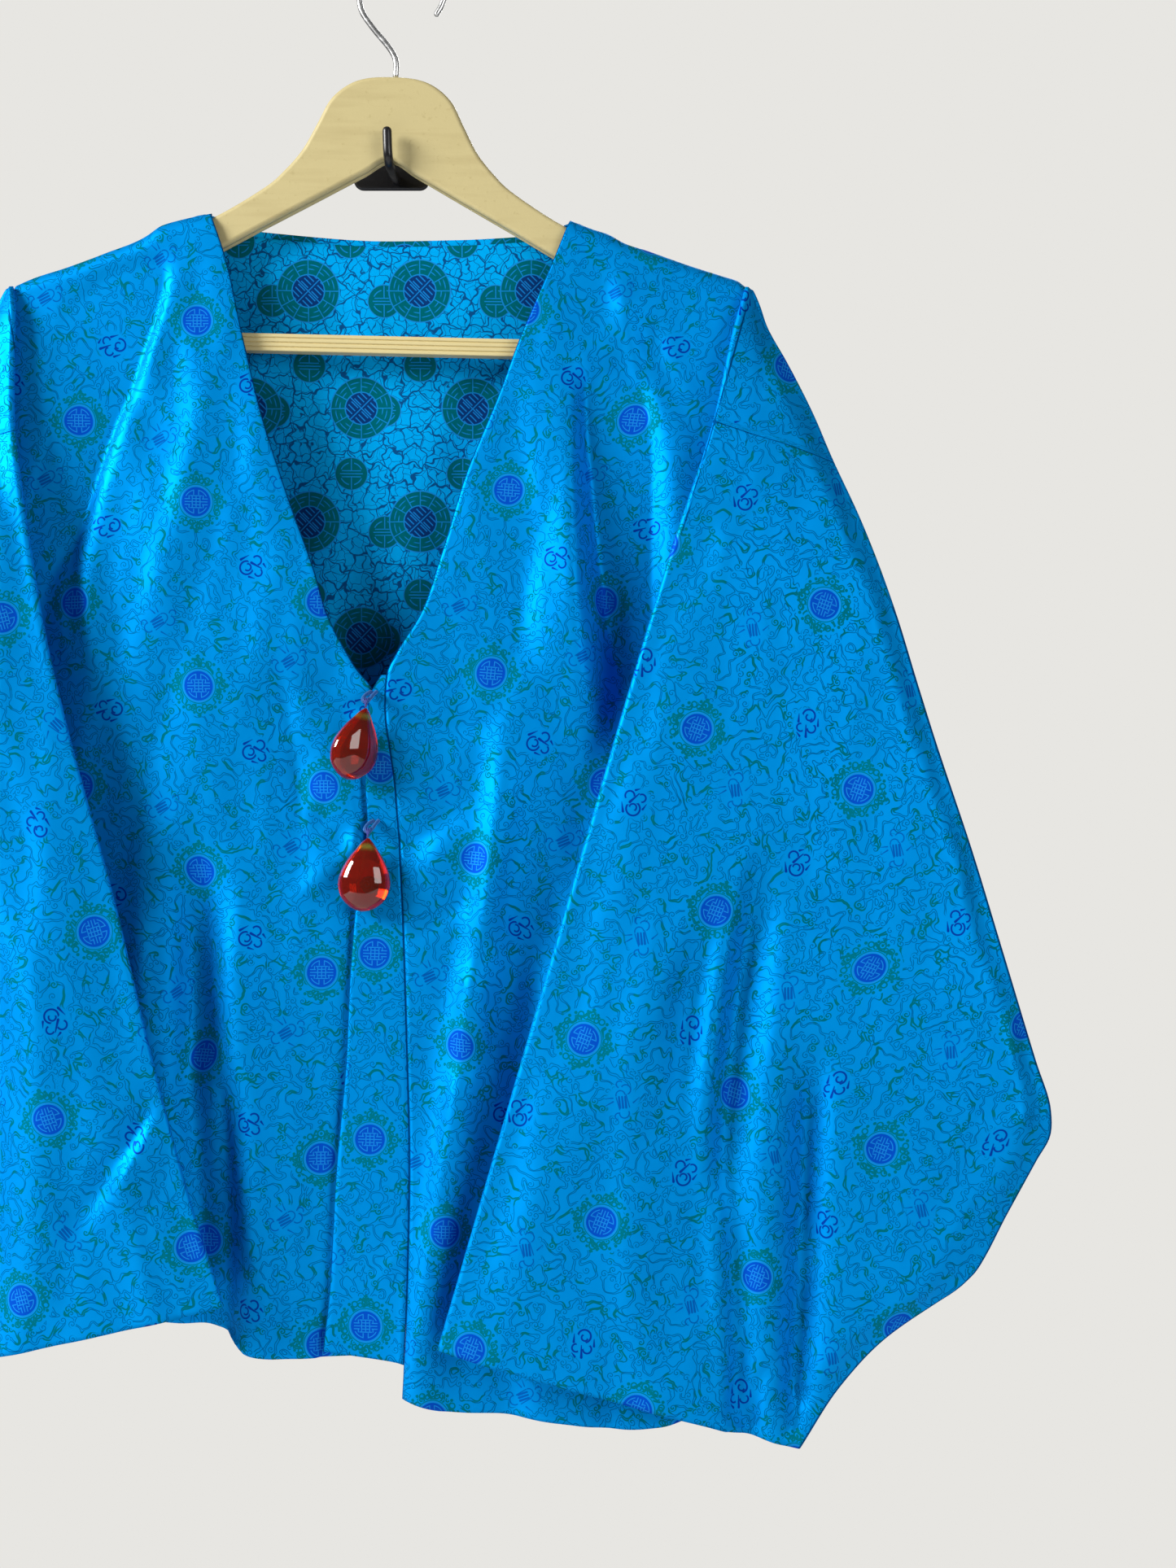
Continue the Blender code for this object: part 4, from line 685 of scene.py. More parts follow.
def grid_normals(grid, facing):
    """Unit normals of a grid of points, turned to the side that faces this way."""
    normals = unit(np.cross(np.gradient(grid, axis=0), np.gradient(grid, axis=1)))
    return -normals if (normals @ np.array(facing)).mean() < 0 else normals


def run_across(grid):
    """How far along the cloth each point is from the first of its row."""
    steps = np.linalg.norm(np.diff(grid, axis=1), axis=2)
    return np.concatenate([np.zeros((len(grid), 1)), np.cumsum(steps, axis=1)], axis=1)


def turned_place(off_x, off_z, turn):
    """Place on the pattern, from how far off its medallion points of a panel are."""
    return (
        off_x * math.cos(turn) + off_z * math.sin(turn),
        off_z * math.cos(turn) - off_x * math.sin(turn),
    )


def on_pattern(x, z, at):
    """Place on the pattern of points of a panel, in metres of cloth."""
    return np.stack(turned_place(x - at.x, z - at.z, at.turn), axis=2) / 1000


def seam_map(grid, lines):
    """Distance from the nearest of the lines given and the run along it, in metres. The lines are the panel's seams
    and, on the fronts and the placket, free edges too, where the dark seam line drawn from this is painted shade.
    """
    x, z = grid[..., 0], grid[..., 2]
    apart = np.minimum.reduce([np.abs(line) for line in lines])
    return np.stack([apart, z + 0.25 * x], axis=2) / 1000


def thickened(grid, facing, wall, top=None, straight=()):
    """The inner face of a sheet whose outer face is this grid."""
    normals = grid_normals(grid, facing)
    for column in straight:
        normals[12:, column] = facing
        normals[1:12, column, 0] = 0.0
    normals = unit(normals)
    if top is not None:
        fade = np.exp(-np.arange(4) * 0.9)[:, None, None]
        normals[:4] = unit(normals[:4] * (1 - fade) + top * fade)
    return grid - normals * wall


def inset_ends(grid, start, end):
    """Moves the first and the last column in along their rows, to leave the gap of a seam."""
    moved = grid.copy()
    for column, beside, gap in ((0, 1, start), (-1, -2, end)):
        moved[:, column] += unit(grid[:, beside] - grid[:, column]) * gap
    return moved


def mesh_of(name, points, faces):
    """A mesh of points in millimetres, its faces turned out."""
    mesh = bpy.data.meshes.new(name)
    mesh.from_pydata((np.asarray(points, float) / 1000).tolist(), [], faces)
    form = bmesh.new()
    form.from_mesh(mesh)
    bmesh.ops.recalc_face_normals(form, faces=form.faces)
    form.to_mesh(mesh)
    form.free()
    return mesh


def put(name, mesh):
    """Links a mesh of the garment's frame, in metres, as a piece that rides on the part's one body."""
    made = bpy.data.objects.new(name, mesh)
    mesh.transform(Matrix.Translation(GARMENT_AT))
    bpy.context.scene.collection.objects.link(made)
    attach(made, "root")
    return made


def dress(made, slot, *nodes):
    """Hides the solids that a piece stands for. Its slot is not used."""
    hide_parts(*nodes)
    return made


def cloth_object(name, outer, inner, place, seam, outside="brocade body"):
    """A closed thin shell of cloth between two grids of points, with its place on the pattern and its seams."""
    rows, columns = outer.shape[:2]
    count = rows * columns
    index = np.arange(count).reshape(rows, columns)
    a, b, c, d = index[:-1, :-1], index[:-1, 1:], index[1:, 1:], index[1:, :-1]
    front = np.stack([a, b, c, d], axis=2).reshape(-1, 4)
    behind = np.stack([a, d, c, b], axis=2).reshape(-1, 4) + count
    rim = np.concatenate([index[0, :-1], index[:-1, -1], index[-1, :0:-1], index[:0:-1, 0]])
    after = np.roll(rim, -1)
    border = np.stack([rim, rim + count, after + count, after], axis=1)
    faces = np.concatenate([front, behind, border])
    mesh = mesh_of(name, np.concatenate([outer.reshape(-1, 3), inner.reshape(-1, 3)]), faces.tolist())
    corners = np.empty(len(mesh.loops), dtype=np.int32)
    mesh.loops.foreach_get("vertex_index", corners)
    for word, values in (("cloth", place), ("seam", seam)):
        layer = mesh.uv_layers.new(name=word)
        layer.data.foreach_set("uv", values.reshape(-1, 2)[corners % count].astype(np.float32).ravel())
    slots = np.zeros(len(faces), dtype=np.int32)
    slots[len(front) : len(front) + len(behind)] = 1
    for paint in (outside, "figured lining"):
        mesh.materials.append(finish(paint))
    mesh.polygons.foreach_set("material_index", slots)
    mesh.shade_smooth()
    return put(name, mesh)


def sleeve_frame(side):
    """Shoulder tip, the way across the sleeve and the way down it, seen from the front."""
    lean = SIDES[side].lean
    out = np.array((side * math.cos(lean), -math.sin(lean)))
    down = np.array((-side * math.sin(lean), -math.cos(lean)))
    return np.array(SIDES[side].shoulder[-1]), out, down


def armhole_in_sleeve(side, step):
    tip, out, down = sleeve_frame(side)
    point = np.array(armhole_point(side, step)) - tip
    return float(point @ out), float(point @ down)


def sleeve_width(side, down):
    """From the straight line of the top fold to the outer edge."""
    return float(read(SLEEVE_OUTLINE, down * SLEEVE_TABLE_LENGTH / SIDES[side].length))


def underarm_seam(side, down):
    """Where the underarm seam runs behind the sleeve, from the underarm out to the outer edge."""
    start_u, start_v = armhole_in_sleeve(side, 1.0)
    widest = WIDEST_DOWN * SIDES[side].length / SLEEVE_TABLE_LENGTH
    if down >= widest:
        return sleeve_width(side, down) - UNDERARM_IN
    part = (down - start_v) / (widest - start_v)
    return start_u + (sleeve_width(side, widest) - UNDERARM_IN - start_u) * part**0.8


def rounded_end(edge, way, middle, half, inset):
    """Points round a folded end of the sleeve, without the two where it meets its faces."""
    turns = np.radians(np.linspace(157.5, 22.5, ROUND_POINTS))
    u = edge + way * (FOLD_RADIUS - (FOLD_RADIUS - inset) * np.sin(turns))
    return u, middle + (half - inset) * np.cos(turns)


def sleeve_ring(side, down, edges, inset, counts):
    """Points round the sleeve at one place down it, from the back of its seam or armhole to the front."""
    here = SIDES[side]
    fold_y, outer_y, thick = (float(read(here.depths, down, column)) for column in (1, 2, 3))
    width = sleeve_width(side, down)
    start = float(read(here.fold, down))

    def middle(u):
        return fold_y + (outer_y - fold_y) * (u - start) / (width - start)

    def half(u):
        from_fold = ease((u - start) / FOLD_BLEND)
        from_edge = ease((width - u) / EDGE_BLEND)
        return FOLD_EDGE + (thick - FOLD_EDGE) * from_fold * (0.25 + 0.75 * from_edge)

    near_u = start + min(FOLD_RADIUS, 0.36 * (width - start))
    far_u = width - near_u + start
    settle = 0.0
    if edges is not None:
        cut_u, front_y, back_y = edges
        front_u = max(cut_u, near_u + 1.2)
    else:
        cut_u = front_u = underarm_seam(side, down)
        settle = math.exp(-(down - armhole_in_sleeve(side, 1.0)[1]) / UNDERARM_SETTLE)
        behind = middle(cut_u) + half(cut_u)
        back_y = front_y = behind + (SIDE_DEPTH_FRONT - 0.6 - behind) * settle
    rear_out = np.linspace(0.0, 1.0, counts["rear"])
    rear_u = cut_u + (far_u - cut_u) * rear_out
    rear_y = back_y + (middle(far_u) + half(far_u) - back_y) * ease(rear_out)
    inner = np.linspace(0.0, 1.0, counts["inner"])
    inner_u = near_u + (front_u - near_u) * inner
    near_y = middle(near_u) + half(near_u)
    inner_y = near_y + (front_y - near_y) * inner
    if edges is None:
        for u, y, part in ((rear_u, rear_y, rear_out), (inner_u, inner_y, 1.0 - inner)):
            lifted = lift(u, np.full_like(u, down), FOLDS_SLEEVE_BEHIND, -1.0) + swell(u, down, 3.0)
            share = (1 - settle) * np.minimum(part * 3.0, 1.0)
            y += (middle(u) + half(u) + lifted * ease((width - u) / LIFT_BLEND) - y) * share
        rear_u[0] += SEAM_GAP
    face_u = far_u + (near_u - far_u) * np.linspace(0.0, 1.0, counts["face"])
    lifted = lift(face_u, np.full_like(face_u, down), here.sleeve_folds, -side) + swell(face_u, down, 1.5)
    lifted = lifted * ease(np.minimum(face_u - start, width - face_u) / LIFT_BLEND)
    face_y = middle(face_u) - half(face_u) - lifted
    out_u, out_y = rounded_end(width, -1.0, middle(far_u), half(far_u), inset)
    in_u, in_y = rounded_end(start, 1.0, middle(near_u), half(near_u), inset)
    u = np.concatenate([rear_u, out_u[::-1], face_u, in_u, inner_u])
    y = np.concatenate([rear_y - inset, out_y[::-1], face_y + inset, in_y, inner_y - inset])
    tip, out, way = sleeve_frame(side)
    flat = tip + u[:, None] * out + down * way
    run = np.concatenate([[0.0], np.cumsum(np.hypot(np.diff(u), np.diff(y)))])
    apex = counts["rear"] + ROUND_POINTS + counts["face"] + ROUND_POINTS // 2
    return np.stack([flat[:, 0], y, flat[:, 1]], axis=1), run[apex] - run + start


def sleeve_levels(side, step):
    """Places down the sleeve. Those that cross the armhole carry its edges, as the body sets them."""
    front, rows = front_grid(side, 8, step)
    back = back_grid(9, step)
    levels = []
    for number, row in enumerate(rows):
        if row.armhole >= 0.008 and row.side <= 0:
            u, down = armhole_in_sleeve(side, row.armhole)
            back_y = float(back[number, -1 if side > 0 else 0, 1])
            levels.append((down, (u, float(front[number, -1, 1]) - SEAM_GAP, back_y)))
    underarm, length = levels[-1][0], SIDES[side].length
    below = np.linspace(underarm, length, round((length - underarm) / step) + 1)[1:]
    return levels + [(float(down), None) for down in below]


def sleeve_sheet(side):
    """One sleeve with the end of the shoulder above it, as a closed thin shell."""
    sizes, here = bpy.context.scene.jacket_sizes, SIDES[side]
    step = sizes.sleeve_step * 1000
    levels = sleeve_levels(side, step)
    counts = {word: round(long / step) for word, long in SLEEVE_AROUND.items()}

    def face(inset):
        rings = [sleeve_ring(side, down, edges, inset, counts) for down, edges in levels]
        return [np.array(part) for part in zip(*rings)]

    outer, out = face(0.0)
    inner = face(sizes.cloth_wall * 1000)[0]
    down = np.repeat(np.array([level[0] for level in levels])[:, None], out.shape[1], axis=1)
    over = armhole_in_sleeve(side, SEAM_OVER_SLEEVE)[1]
    at, above = here.sleeve_pattern, down < over
    # Above its seam the shoulder's cloth is cut apart, so the pattern shifts there.
    across, along = turned_place(out - at.x, down - at.z, at.turn)
    along, across = along + above * PATTERN_SHIFT[0], across + above * PATTERN_SHIFT[1]
    place = np.stack([-side * along, -across], axis=2) / 1000
    line_out, top, bottom = ARMHOLE_LINE
    band = np.abs(out - line_out) + np.maximum(top - down, 0.0) + np.maximum(down - bottom, 0.0)
    edge = out[:, counts["rear"] + ROUND_POINTS // 2][:, None]
    underarm = np.abs(edge - out - UNDERARM_LINE[0]) + np.maximum(UNDERARM_LINE[1] - down, 0.0)
    seam = np.minimum(np.minimum(band, underarm * 0.45), np.abs(down - over) + 0.25)
    seam_place = np.stack([seam, down + out], axis=2) / 1000
    return cloth_object(f"sleeve_{here.word}_cloth", outer, inner, place, seam_place, "brocade sleeve")


def placket_depth(x, z):
    """Outer face of the placket strip, from the left front that it is sewn to."""
    left = front_grid(1, 8, bpy.context.scene.jacket_sizes.grid_step * 1000)[0]
    seam_x, free_x = read(FRONT_LEFT_EDGE, z), read(OPENING_EDGE, z)
    seam_y = np.interp(-z, -left[:, 0, 2], left[:, 0, 1])
    part = np.clip((seam_x - x) / (seam_x - free_x), 0.0, 1.2)
    here, there = (lift(across, z, FOLDS_FRONT_LEFT) for across in (x, seam_x))
    return seam_y + PLACKET_LIFT * part - (here - there)


def front_sheet(side):
    sizes, here = bpy.context.scene.jacket_sizes, SIDES[side]
    step, wall = sizes.grid_step * 1000, sizes.cloth_wall * 1000
    grid = front_grid(side, round(FRONT_ACROSS / step), step)[0]
    if side < 0:
        x, z = grid[..., 0], grid[..., 2]
        under = ease((x - read(OPENING_EDGE, z) + 5.0) / 4.0) * (z < OPENING_EDGE[0].z + 4.0)
        behind = np.maximum(grid[..., 1], placket_depth(x, z) + wall + LAP_CLEAR)
        grid[..., 1] += (behind - grid[..., 1]) * under
    grid = inset_ends(grid, SEAM_DRAWN_IN if side > 0 else 0.0, SEAM_GAP)
    inner = thickened(grid, -BACKWARD, wall, UP, (0, -1) if side > 0 else (-1,))
    run = run_across(grid)
    place = on_pattern(grid[:, :1, 0] + side * run, grid[..., 2], here.pattern)
    # The front edge is drawn as a seam too: along the free V neck edge its dark line is painted shade on the rolled
    # rim.
    seams = seam_map(grid, [run[:, -1:] - run + 0.2, run])
    return cloth_object(f"front_{here.word}_cloth", grid, inner, place, seams)


def placket_sheet():
    """Strip sewn along the left front's edge, which laps over the right front."""
    sizes = bpy.context.scene.jacket_sizes
    top, bottom = OPENING_EDGE[0].z, HEM_PLACKET[-1].z
    part = np.linspace(0.0, 1.0, round((top - bottom) / (sizes.grid_step * 1000)))[:, None]
    height = top + (bottom - top) * part
    seam_x, free_x = read(FRONT_LEFT_EDGE, height), read(OPENING_EDGE, height)
    x = seam_x + (free_x - seam_x) * np.linspace(0.0, 1.0, PLACKET_COLUMNS)[None, :]
    z = height + (read(HEM_PLACKET, x) - bottom) * ease((part - 0.86) / 0.14)
    grid = inset_ends(np.stack([x, placket_depth(x, z), z], axis=2), SEAM_DRAWN_IN, 0.0)
    inner = thickened(grid, -BACKWARD, sizes.cloth_wall * 1000, None, (0,))
    run = run_across(grid)
    place = on_pattern(grid[:, :1, 0] - run, grid[..., 2], PATTERN_PLACKET)
    # The placket's seam to the left front gets a seam line; its free edge gets the same dark line as painted shade.
    return cloth_object("placket_cloth", grid, inner, place, seam_map(grid, [run, run[:, -1:] - run]))


def back_sheets():
    """The back, with what of the lining shows inside the neck."""
    sizes = bpy.context.scene.jacket_sizes
    step, wall = sizes.back_step * 1000, sizes.cloth_wall * 1000
    grid = inset_ends(back_grid(round(BACK_ACROSS / step), step), SEAM_GAP, SEAM_GAP)
    turn = over_hanger(grid[0, :, 0])[:, None]
    inner = thickened(grid, BACKWARD, wall, UP * turn + BACKWARD * (1 - turn), (0, -1))
    run = run_across(grid)
    middle = np.array([np.interp(0.0, row[:, 0], along) for row, along in zip(grid, run)])[:, None]
    place = on_pattern(run - middle, grid[..., 2], PATTERN_BACK)
    seams = seam_map(grid, [run, run[:, -1:] - run, run - middle + 3.0])
    back = cloth_object("back_cloth", grid, inner, place, seams)
    face = grid - grid_normals(grid, BACKWARD) * (wall + SEAM_GAP)
    kept = np.abs(grid[0, :, 0] - HANGER_MIDDLE) < LINING_HALF
    height = grid[:, len(kept) // 2, 2]
    deep = (height < BACK_NECK[3].z - 2.5) & (height > LINING_LOWEST)
    lining = face[np.ix_(deep, kept)]
    behind = thickened(lining, BACKWARD, sizes.lining_wall * 1000)
    x, z = lining[..., 0], lining[..., 2]
    seams = seam_map(lining, [(x - LINING_SEAM_TOP - (z - BACK_NECK[3].z) * LINING_SEAM_LEAN) * 1.6])
    place = on_pattern(x, z, PATTERN_LINING)
    return back, cloth_object("lining_cloth", lining, behind, place, seams, "figured lining")


# ---- hanger, hook and buttons


def smoothed(mesh, caps=True):
    mesh.polygons.foreach_set("use_smooth", [caps or len(face.vertices) == 4 for face in mesh.polygons])
    return mesh


def ringed_mesh(name, rings, closed=False):
    """A mesh through rings of points, capped at both ends unless it closes on itself."""
    rings = np.asarray(rings, float)
    index = np.arange(rings.shape[0] * rings.shape[1]).reshape(rings.shape[:2])
    after, beside = np.roll(index, -1, axis=0), np.roll(index, -1, axis=1)
    faces = np.stack([index, beside, np.roll(after, -1, axis=1), after], axis=2)
    faces = (faces if closed else faces[:-1]).reshape(-1, 4).tolist()
    caps = [] if closed else [index[0].tolist(), index[-1].tolist()]
    return mesh_of(name, rings.reshape(-1, 3), faces + caps)


def tilt_about_apex(mesh):
    """Leans the hanger as it hangs, its left arm lower."""
    pivot = Vector((HANGER_MIDDLE, 0.0, HANGER_APEX)) / 1000
    mesh.transform(Matrix.Translation(pivot) @ Matrix.Rotation(HANGER_TILT, 4, "Y") @ Matrix.Translation(-pivot))
    return mesh


def smooth_route(points, between, closed=False):
    """Points on a smooth curve through the given ones."""
    given = np.array(points, float)
    if closed:
        ends = np.concatenate([given[-1:], given, given[:2]])
    else:
        ends = np.concatenate([[2 * given[0] - given[1]], given, [2 * given[-1] - given[-2]]])
    out = []
    for a, b, c, d in zip(ends, ends[1:], ends[2:], ends[3:]):
        for step in np.linspace(0.0, 1.0, between, endpoint=False):
            square = (2 * a - 5 * b + 4 * c - d) * step**2
            cube = (3 * b - 3 * c + d - a) * step**3
            out.append(0.5 * (2 * b + (c - a) * step + square + cube))
    return np.array(out if closed else out + [given[-1]])


def tube_mesh(name, route, radius, sides, closed=False, round_end=False):
    """A round tube along a route. Its far end is a dome where that is asked for."""
    route = np.array(route, float)
    ways = unit(np.roll(route, -1, axis=0) - np.roll(route, 1, axis=0) if closed else np.gradient(route, axis=0))
    plane = np.linalg.svd(route - route.mean(axis=0))[2][-1]
    radii = np.full(len(route), radius)
    if round_end:
        turns = np.radians(np.linspace(15.0, 82.0, 6))
        route = np.concatenate([route, route[-1] + radius * np.sin(turns)[:, None] * ways[-1]])
        ways = np.concatenate([ways, [ways[-1]] * len(turns)])
        radii = np.concatenate([radii, radius * np.cos(turns)])
    side = unit(np.cross(ways, plane))
    up = np.cross(side, ways)
    turns = 2 * math.pi * np.arange(sides)[:, None] / sides
    spokes = np.cos(turns) * side[:, None] + np.sin(turns) * up[:, None]
    return smoothed(ringed_mesh(name, route[:, None] + radii[:, None, None] * spokes, closed))


def layered_mesh(name, outline, layers):
    """A flat form built of the same outline at several depths, each drawn in by its own amounts."""
    x, z = outline.T
    ways = unit(np.roll(outline, -1, axis=0) - np.roll(outline, 1, axis=0))
    outward = np.stack([ways[:, 1], -ways[:, 0]], axis=1)
    outward *= math.copysign(1.0, np.sum(x * np.roll(z, -1) - z * np.roll(x, -1)))
    rings = []
    for depth, inset in layers:
        drawn = outline - outward * np.broadcast_to(inset, len(outline))[:, None]
        rings.append(np.insert(drawn, 1, depth, axis=1))
    return smoothed(ringed_mesh(name, rings), caps=False)


def hanger_mesh():
    """The hanger's plank with rolled edges and a groove along its underside."""
    arm = [(row.x, row.z, 0.0) for row in HANGER_TOP[1:]]
    arm += [(row.x, row.z, float(row.x < GROOVE_END)) for row in HANGER_LOW[:0:-1]]
    left = [(HANGER_MIDDLE + x, z, grooved) for x, z, grooved in arm]
    right = [(HANGER_MIDDLE - x, z, grooved) for x, z, grooved in arm[::-1]]
    peak, apex = (HANGER_MIDDLE, HANGER_TOP[0].z, 0.0), (HANGER_MIDDLE, HANGER_APEX, 1.0)
    rounded = smooth_route([peak, *left, apex, *right], 7, closed=True)
    groove = ease(rounded[:, 2]) * HANGER_GROOVE
    rolled = [
        (HANGER_ROLL * (1 - math.cos(turn)) - HANGER_THICK / 2, HANGER_ROLL * (1 - math.sin(turn)))
        for turn in np.radians(np.linspace(0.0, 90.0, 5))
    ]
    layers = rolled + [(-1.9, 0.0), (-1.1, groove), (1.1, groove), (1.9, 0.0)]
    layers += [(-depth, inset) for depth, inset in rolled[::-1]]
    layers = [(SHOULDER_DEPTH + depth, inset) for depth, inset in layers]
    return tilt_about_apex(layered_mesh("hanger_body", rounded[:, :2], layers))


def bar_mesh():
    """The bar between the hanger's tips, with grooves along its front and a rounded back."""
    front, rear = SHOULDER_DEPTH - BAR_THICK / 2, SHOULDER_DEPTH + BAR_THICK / 2
    corner = ((1.2, 0.0), (0.35, 0.35), (0.0, 1.2))
    section = [(rear - back, BAR_TOP - down) for back, down in corner]
    section += [(rear - back, BAR_BOTTOM + up) for back, up in corner[::-1]]
    spacing = (BAR_TOP - BAR_BOTTOM) / BAR_GROOVES
    for number in range(BAR_GROOVES):
        for share, depth in ((0.06, 0.7), (0.13, 0.22), (0.24, 0.0), (0.76, 0.0), (0.87, 0.22), (0.94, 0.7)):
            section.append((front + depth, BAR_BOTTOM + spacing * (number + share)))
    stations = np.linspace(-BAR_HALF_LENGTH, BAR_HALF_LENGTH, 5)
    return tilt_about_apex(ringed_mesh("bar", [[(HANGER_MIDDLE + x, y, z) for y, z in section] for x in stations]))


def arc_points(middle, radius, start, end, count):
    turns = np.radians(np.linspace(start, end, count))
    return np.array(middle) + radius * np.stack([np.cos(turns), np.sin(turns)], axis=1)


def wire_mesh():
    """Wire hook of the hanger: its shank, then an open arc with a domed end."""
    flat = smooth_route([*WIRE_ROUTE, *arc_points(WIRE_ARC_MIDDLE, WIRE_ARC_RADIUS, 178.0, -35.0, 17)], 4)
    route = np.insert(flat, 1, SHOULDER_DEPTH, axis=1)
    return tilt_about_apex(tube_mesh("wire", route, WIRE_RADIUS, 18, round_end=True))


def plate_mesh():
    """The wall plate, with rounded corners and a rolled edge."""
    reach = PLATE_SIZE / 2 - PLATE_CORNER
    middle = -np.array(GARMENT_AT.xz) * 1000
    corners = ((1, 1, 0.0), (-1, 1, 90.0), (-1, -1, 180.0), (1, -1, 270.0))
    outline = np.concatenate([
        arc_points(middle + (x * reach, z * reach), PLATE_CORNER, start, start + 90.0, 11)
        for x, z, start in corners
    ])
    edge = ((0.0, 1.2), (0.15, 0.55), (0.6, 0.12), (1.3, 0.0), (PLATE_THICK, 0.0))
    return layered_mesh("plate", outline, [(depth - PLATE_THICK, inset) for depth, inset in edge])


def button_mesh(button):
    """One drop button, turned on a lathe and flattened, with its height and its turn laid out on it."""
    # Rings are closer at both ends, where the drop is blunt.
    downs = BUTTON_PROFILE[-1].down * (1 - np.cos(np.linspace(0.0, math.pi, BUTTON_RINGS))) / 2
    halves = np.maximum(read(BUTTON_PROFILE, downs), 0.3)[:, None]
    turns = 2 * math.pi * np.arange(BUTTON_TURNS) / BUTTON_TURNS
    thick = halves * BUTTON_THICK / BUTTON_WIDTH
    heights = np.repeat(-downs[:, None], BUTTON_TURNS, axis=1)
    rings = np.stack([halves * np.cos(turns), thick * np.sin(turns), heights], axis=2)
    mesh = smoothed(ringed_mesh("button_" + button.name, rings))
    layer = mesh.uv_layers.new(name="drop")
    for loop in mesh.loops:
        layer.data[loop.index].uv = mesh.vertices[loop.vertex_index].co.xz
    mesh.transform(Matrix.Rotation(button.turned, 4, "Z"))
    return mesh


def button_place(button):
    """The placket's face under a button, and the depth and the height of the middle of its thread ring."""
    surface = float(placket_depth(np.array([BUTTON_ON_PLACKET]), np.array([button.z]))[0]) - BUTTON_LIFT
    return surface, surface - BUTTON_CLEAR - BUTTON_THICK / 2, button.z + THREAD_RING + THREAD_RADIUS + SEAM_GAP


def thread_mesh(button):
    """The wound thread that carries a button: a few turns, each a little off the next."""
    _, depth, ring_z = button_place(button)
    form = bmesh.new()
    for reach, lean, shift in ((2.3, 0.0, 0.0), (2.5, 0.35, 0.5), (2.2, -0.3, -0.5)):
        turns = np.linspace(0.0, 2 * math.pi, 28, endpoint=False)
        y, z = reach * np.sin(turns), reach * np.cos(turns)
        ring = np.stack([button.x + shift + lean * z, depth + y, ring_z + z], axis=1)
        turn = tube_mesh("turn", ring, THREAD_RADIUS * 0.62, 8, closed=True)
        form.from_mesh(turn)
        bpy.data.meshes.remove(turn)
    mesh = bpy.data.meshes.new("button_thread_" + button.name)
    form.to_mesh(mesh)
    form.free()
    return smoothed(mesh)


def loop_mesh(button):
    """The small cloth loop through the thread, both feet sewn to the placket."""
    surface, depth, ring_z = button_place(button)
    low, foot, between = ring_z + 0.2, surface - SEAM_GAP - 0.1, (surface + depth) / 2
    loop = (
        (1.8, foot, 6.0), (-0.6, between, 4.2), (-1.8, depth, 1.4), (0.0, depth, 0.0),
        (1.8, depth, 1.4), (3.4, between, 4.2), (4.6, foot, 6.0),
    )
    route = smooth_route([(button.x + x, y, low + up) for x, y, up in loop], 6)
    return tube_mesh("button_loop_" + button.name, route, LOOP_RADIUS, 14)


# ---- shaders


def feed(given, socket):
    """Sets a socket to a number or links it to a field."""
    if isinstance(given, Field):
        given.tree.links.new(given.socket, socket)
    else:
        socket.default_value = given


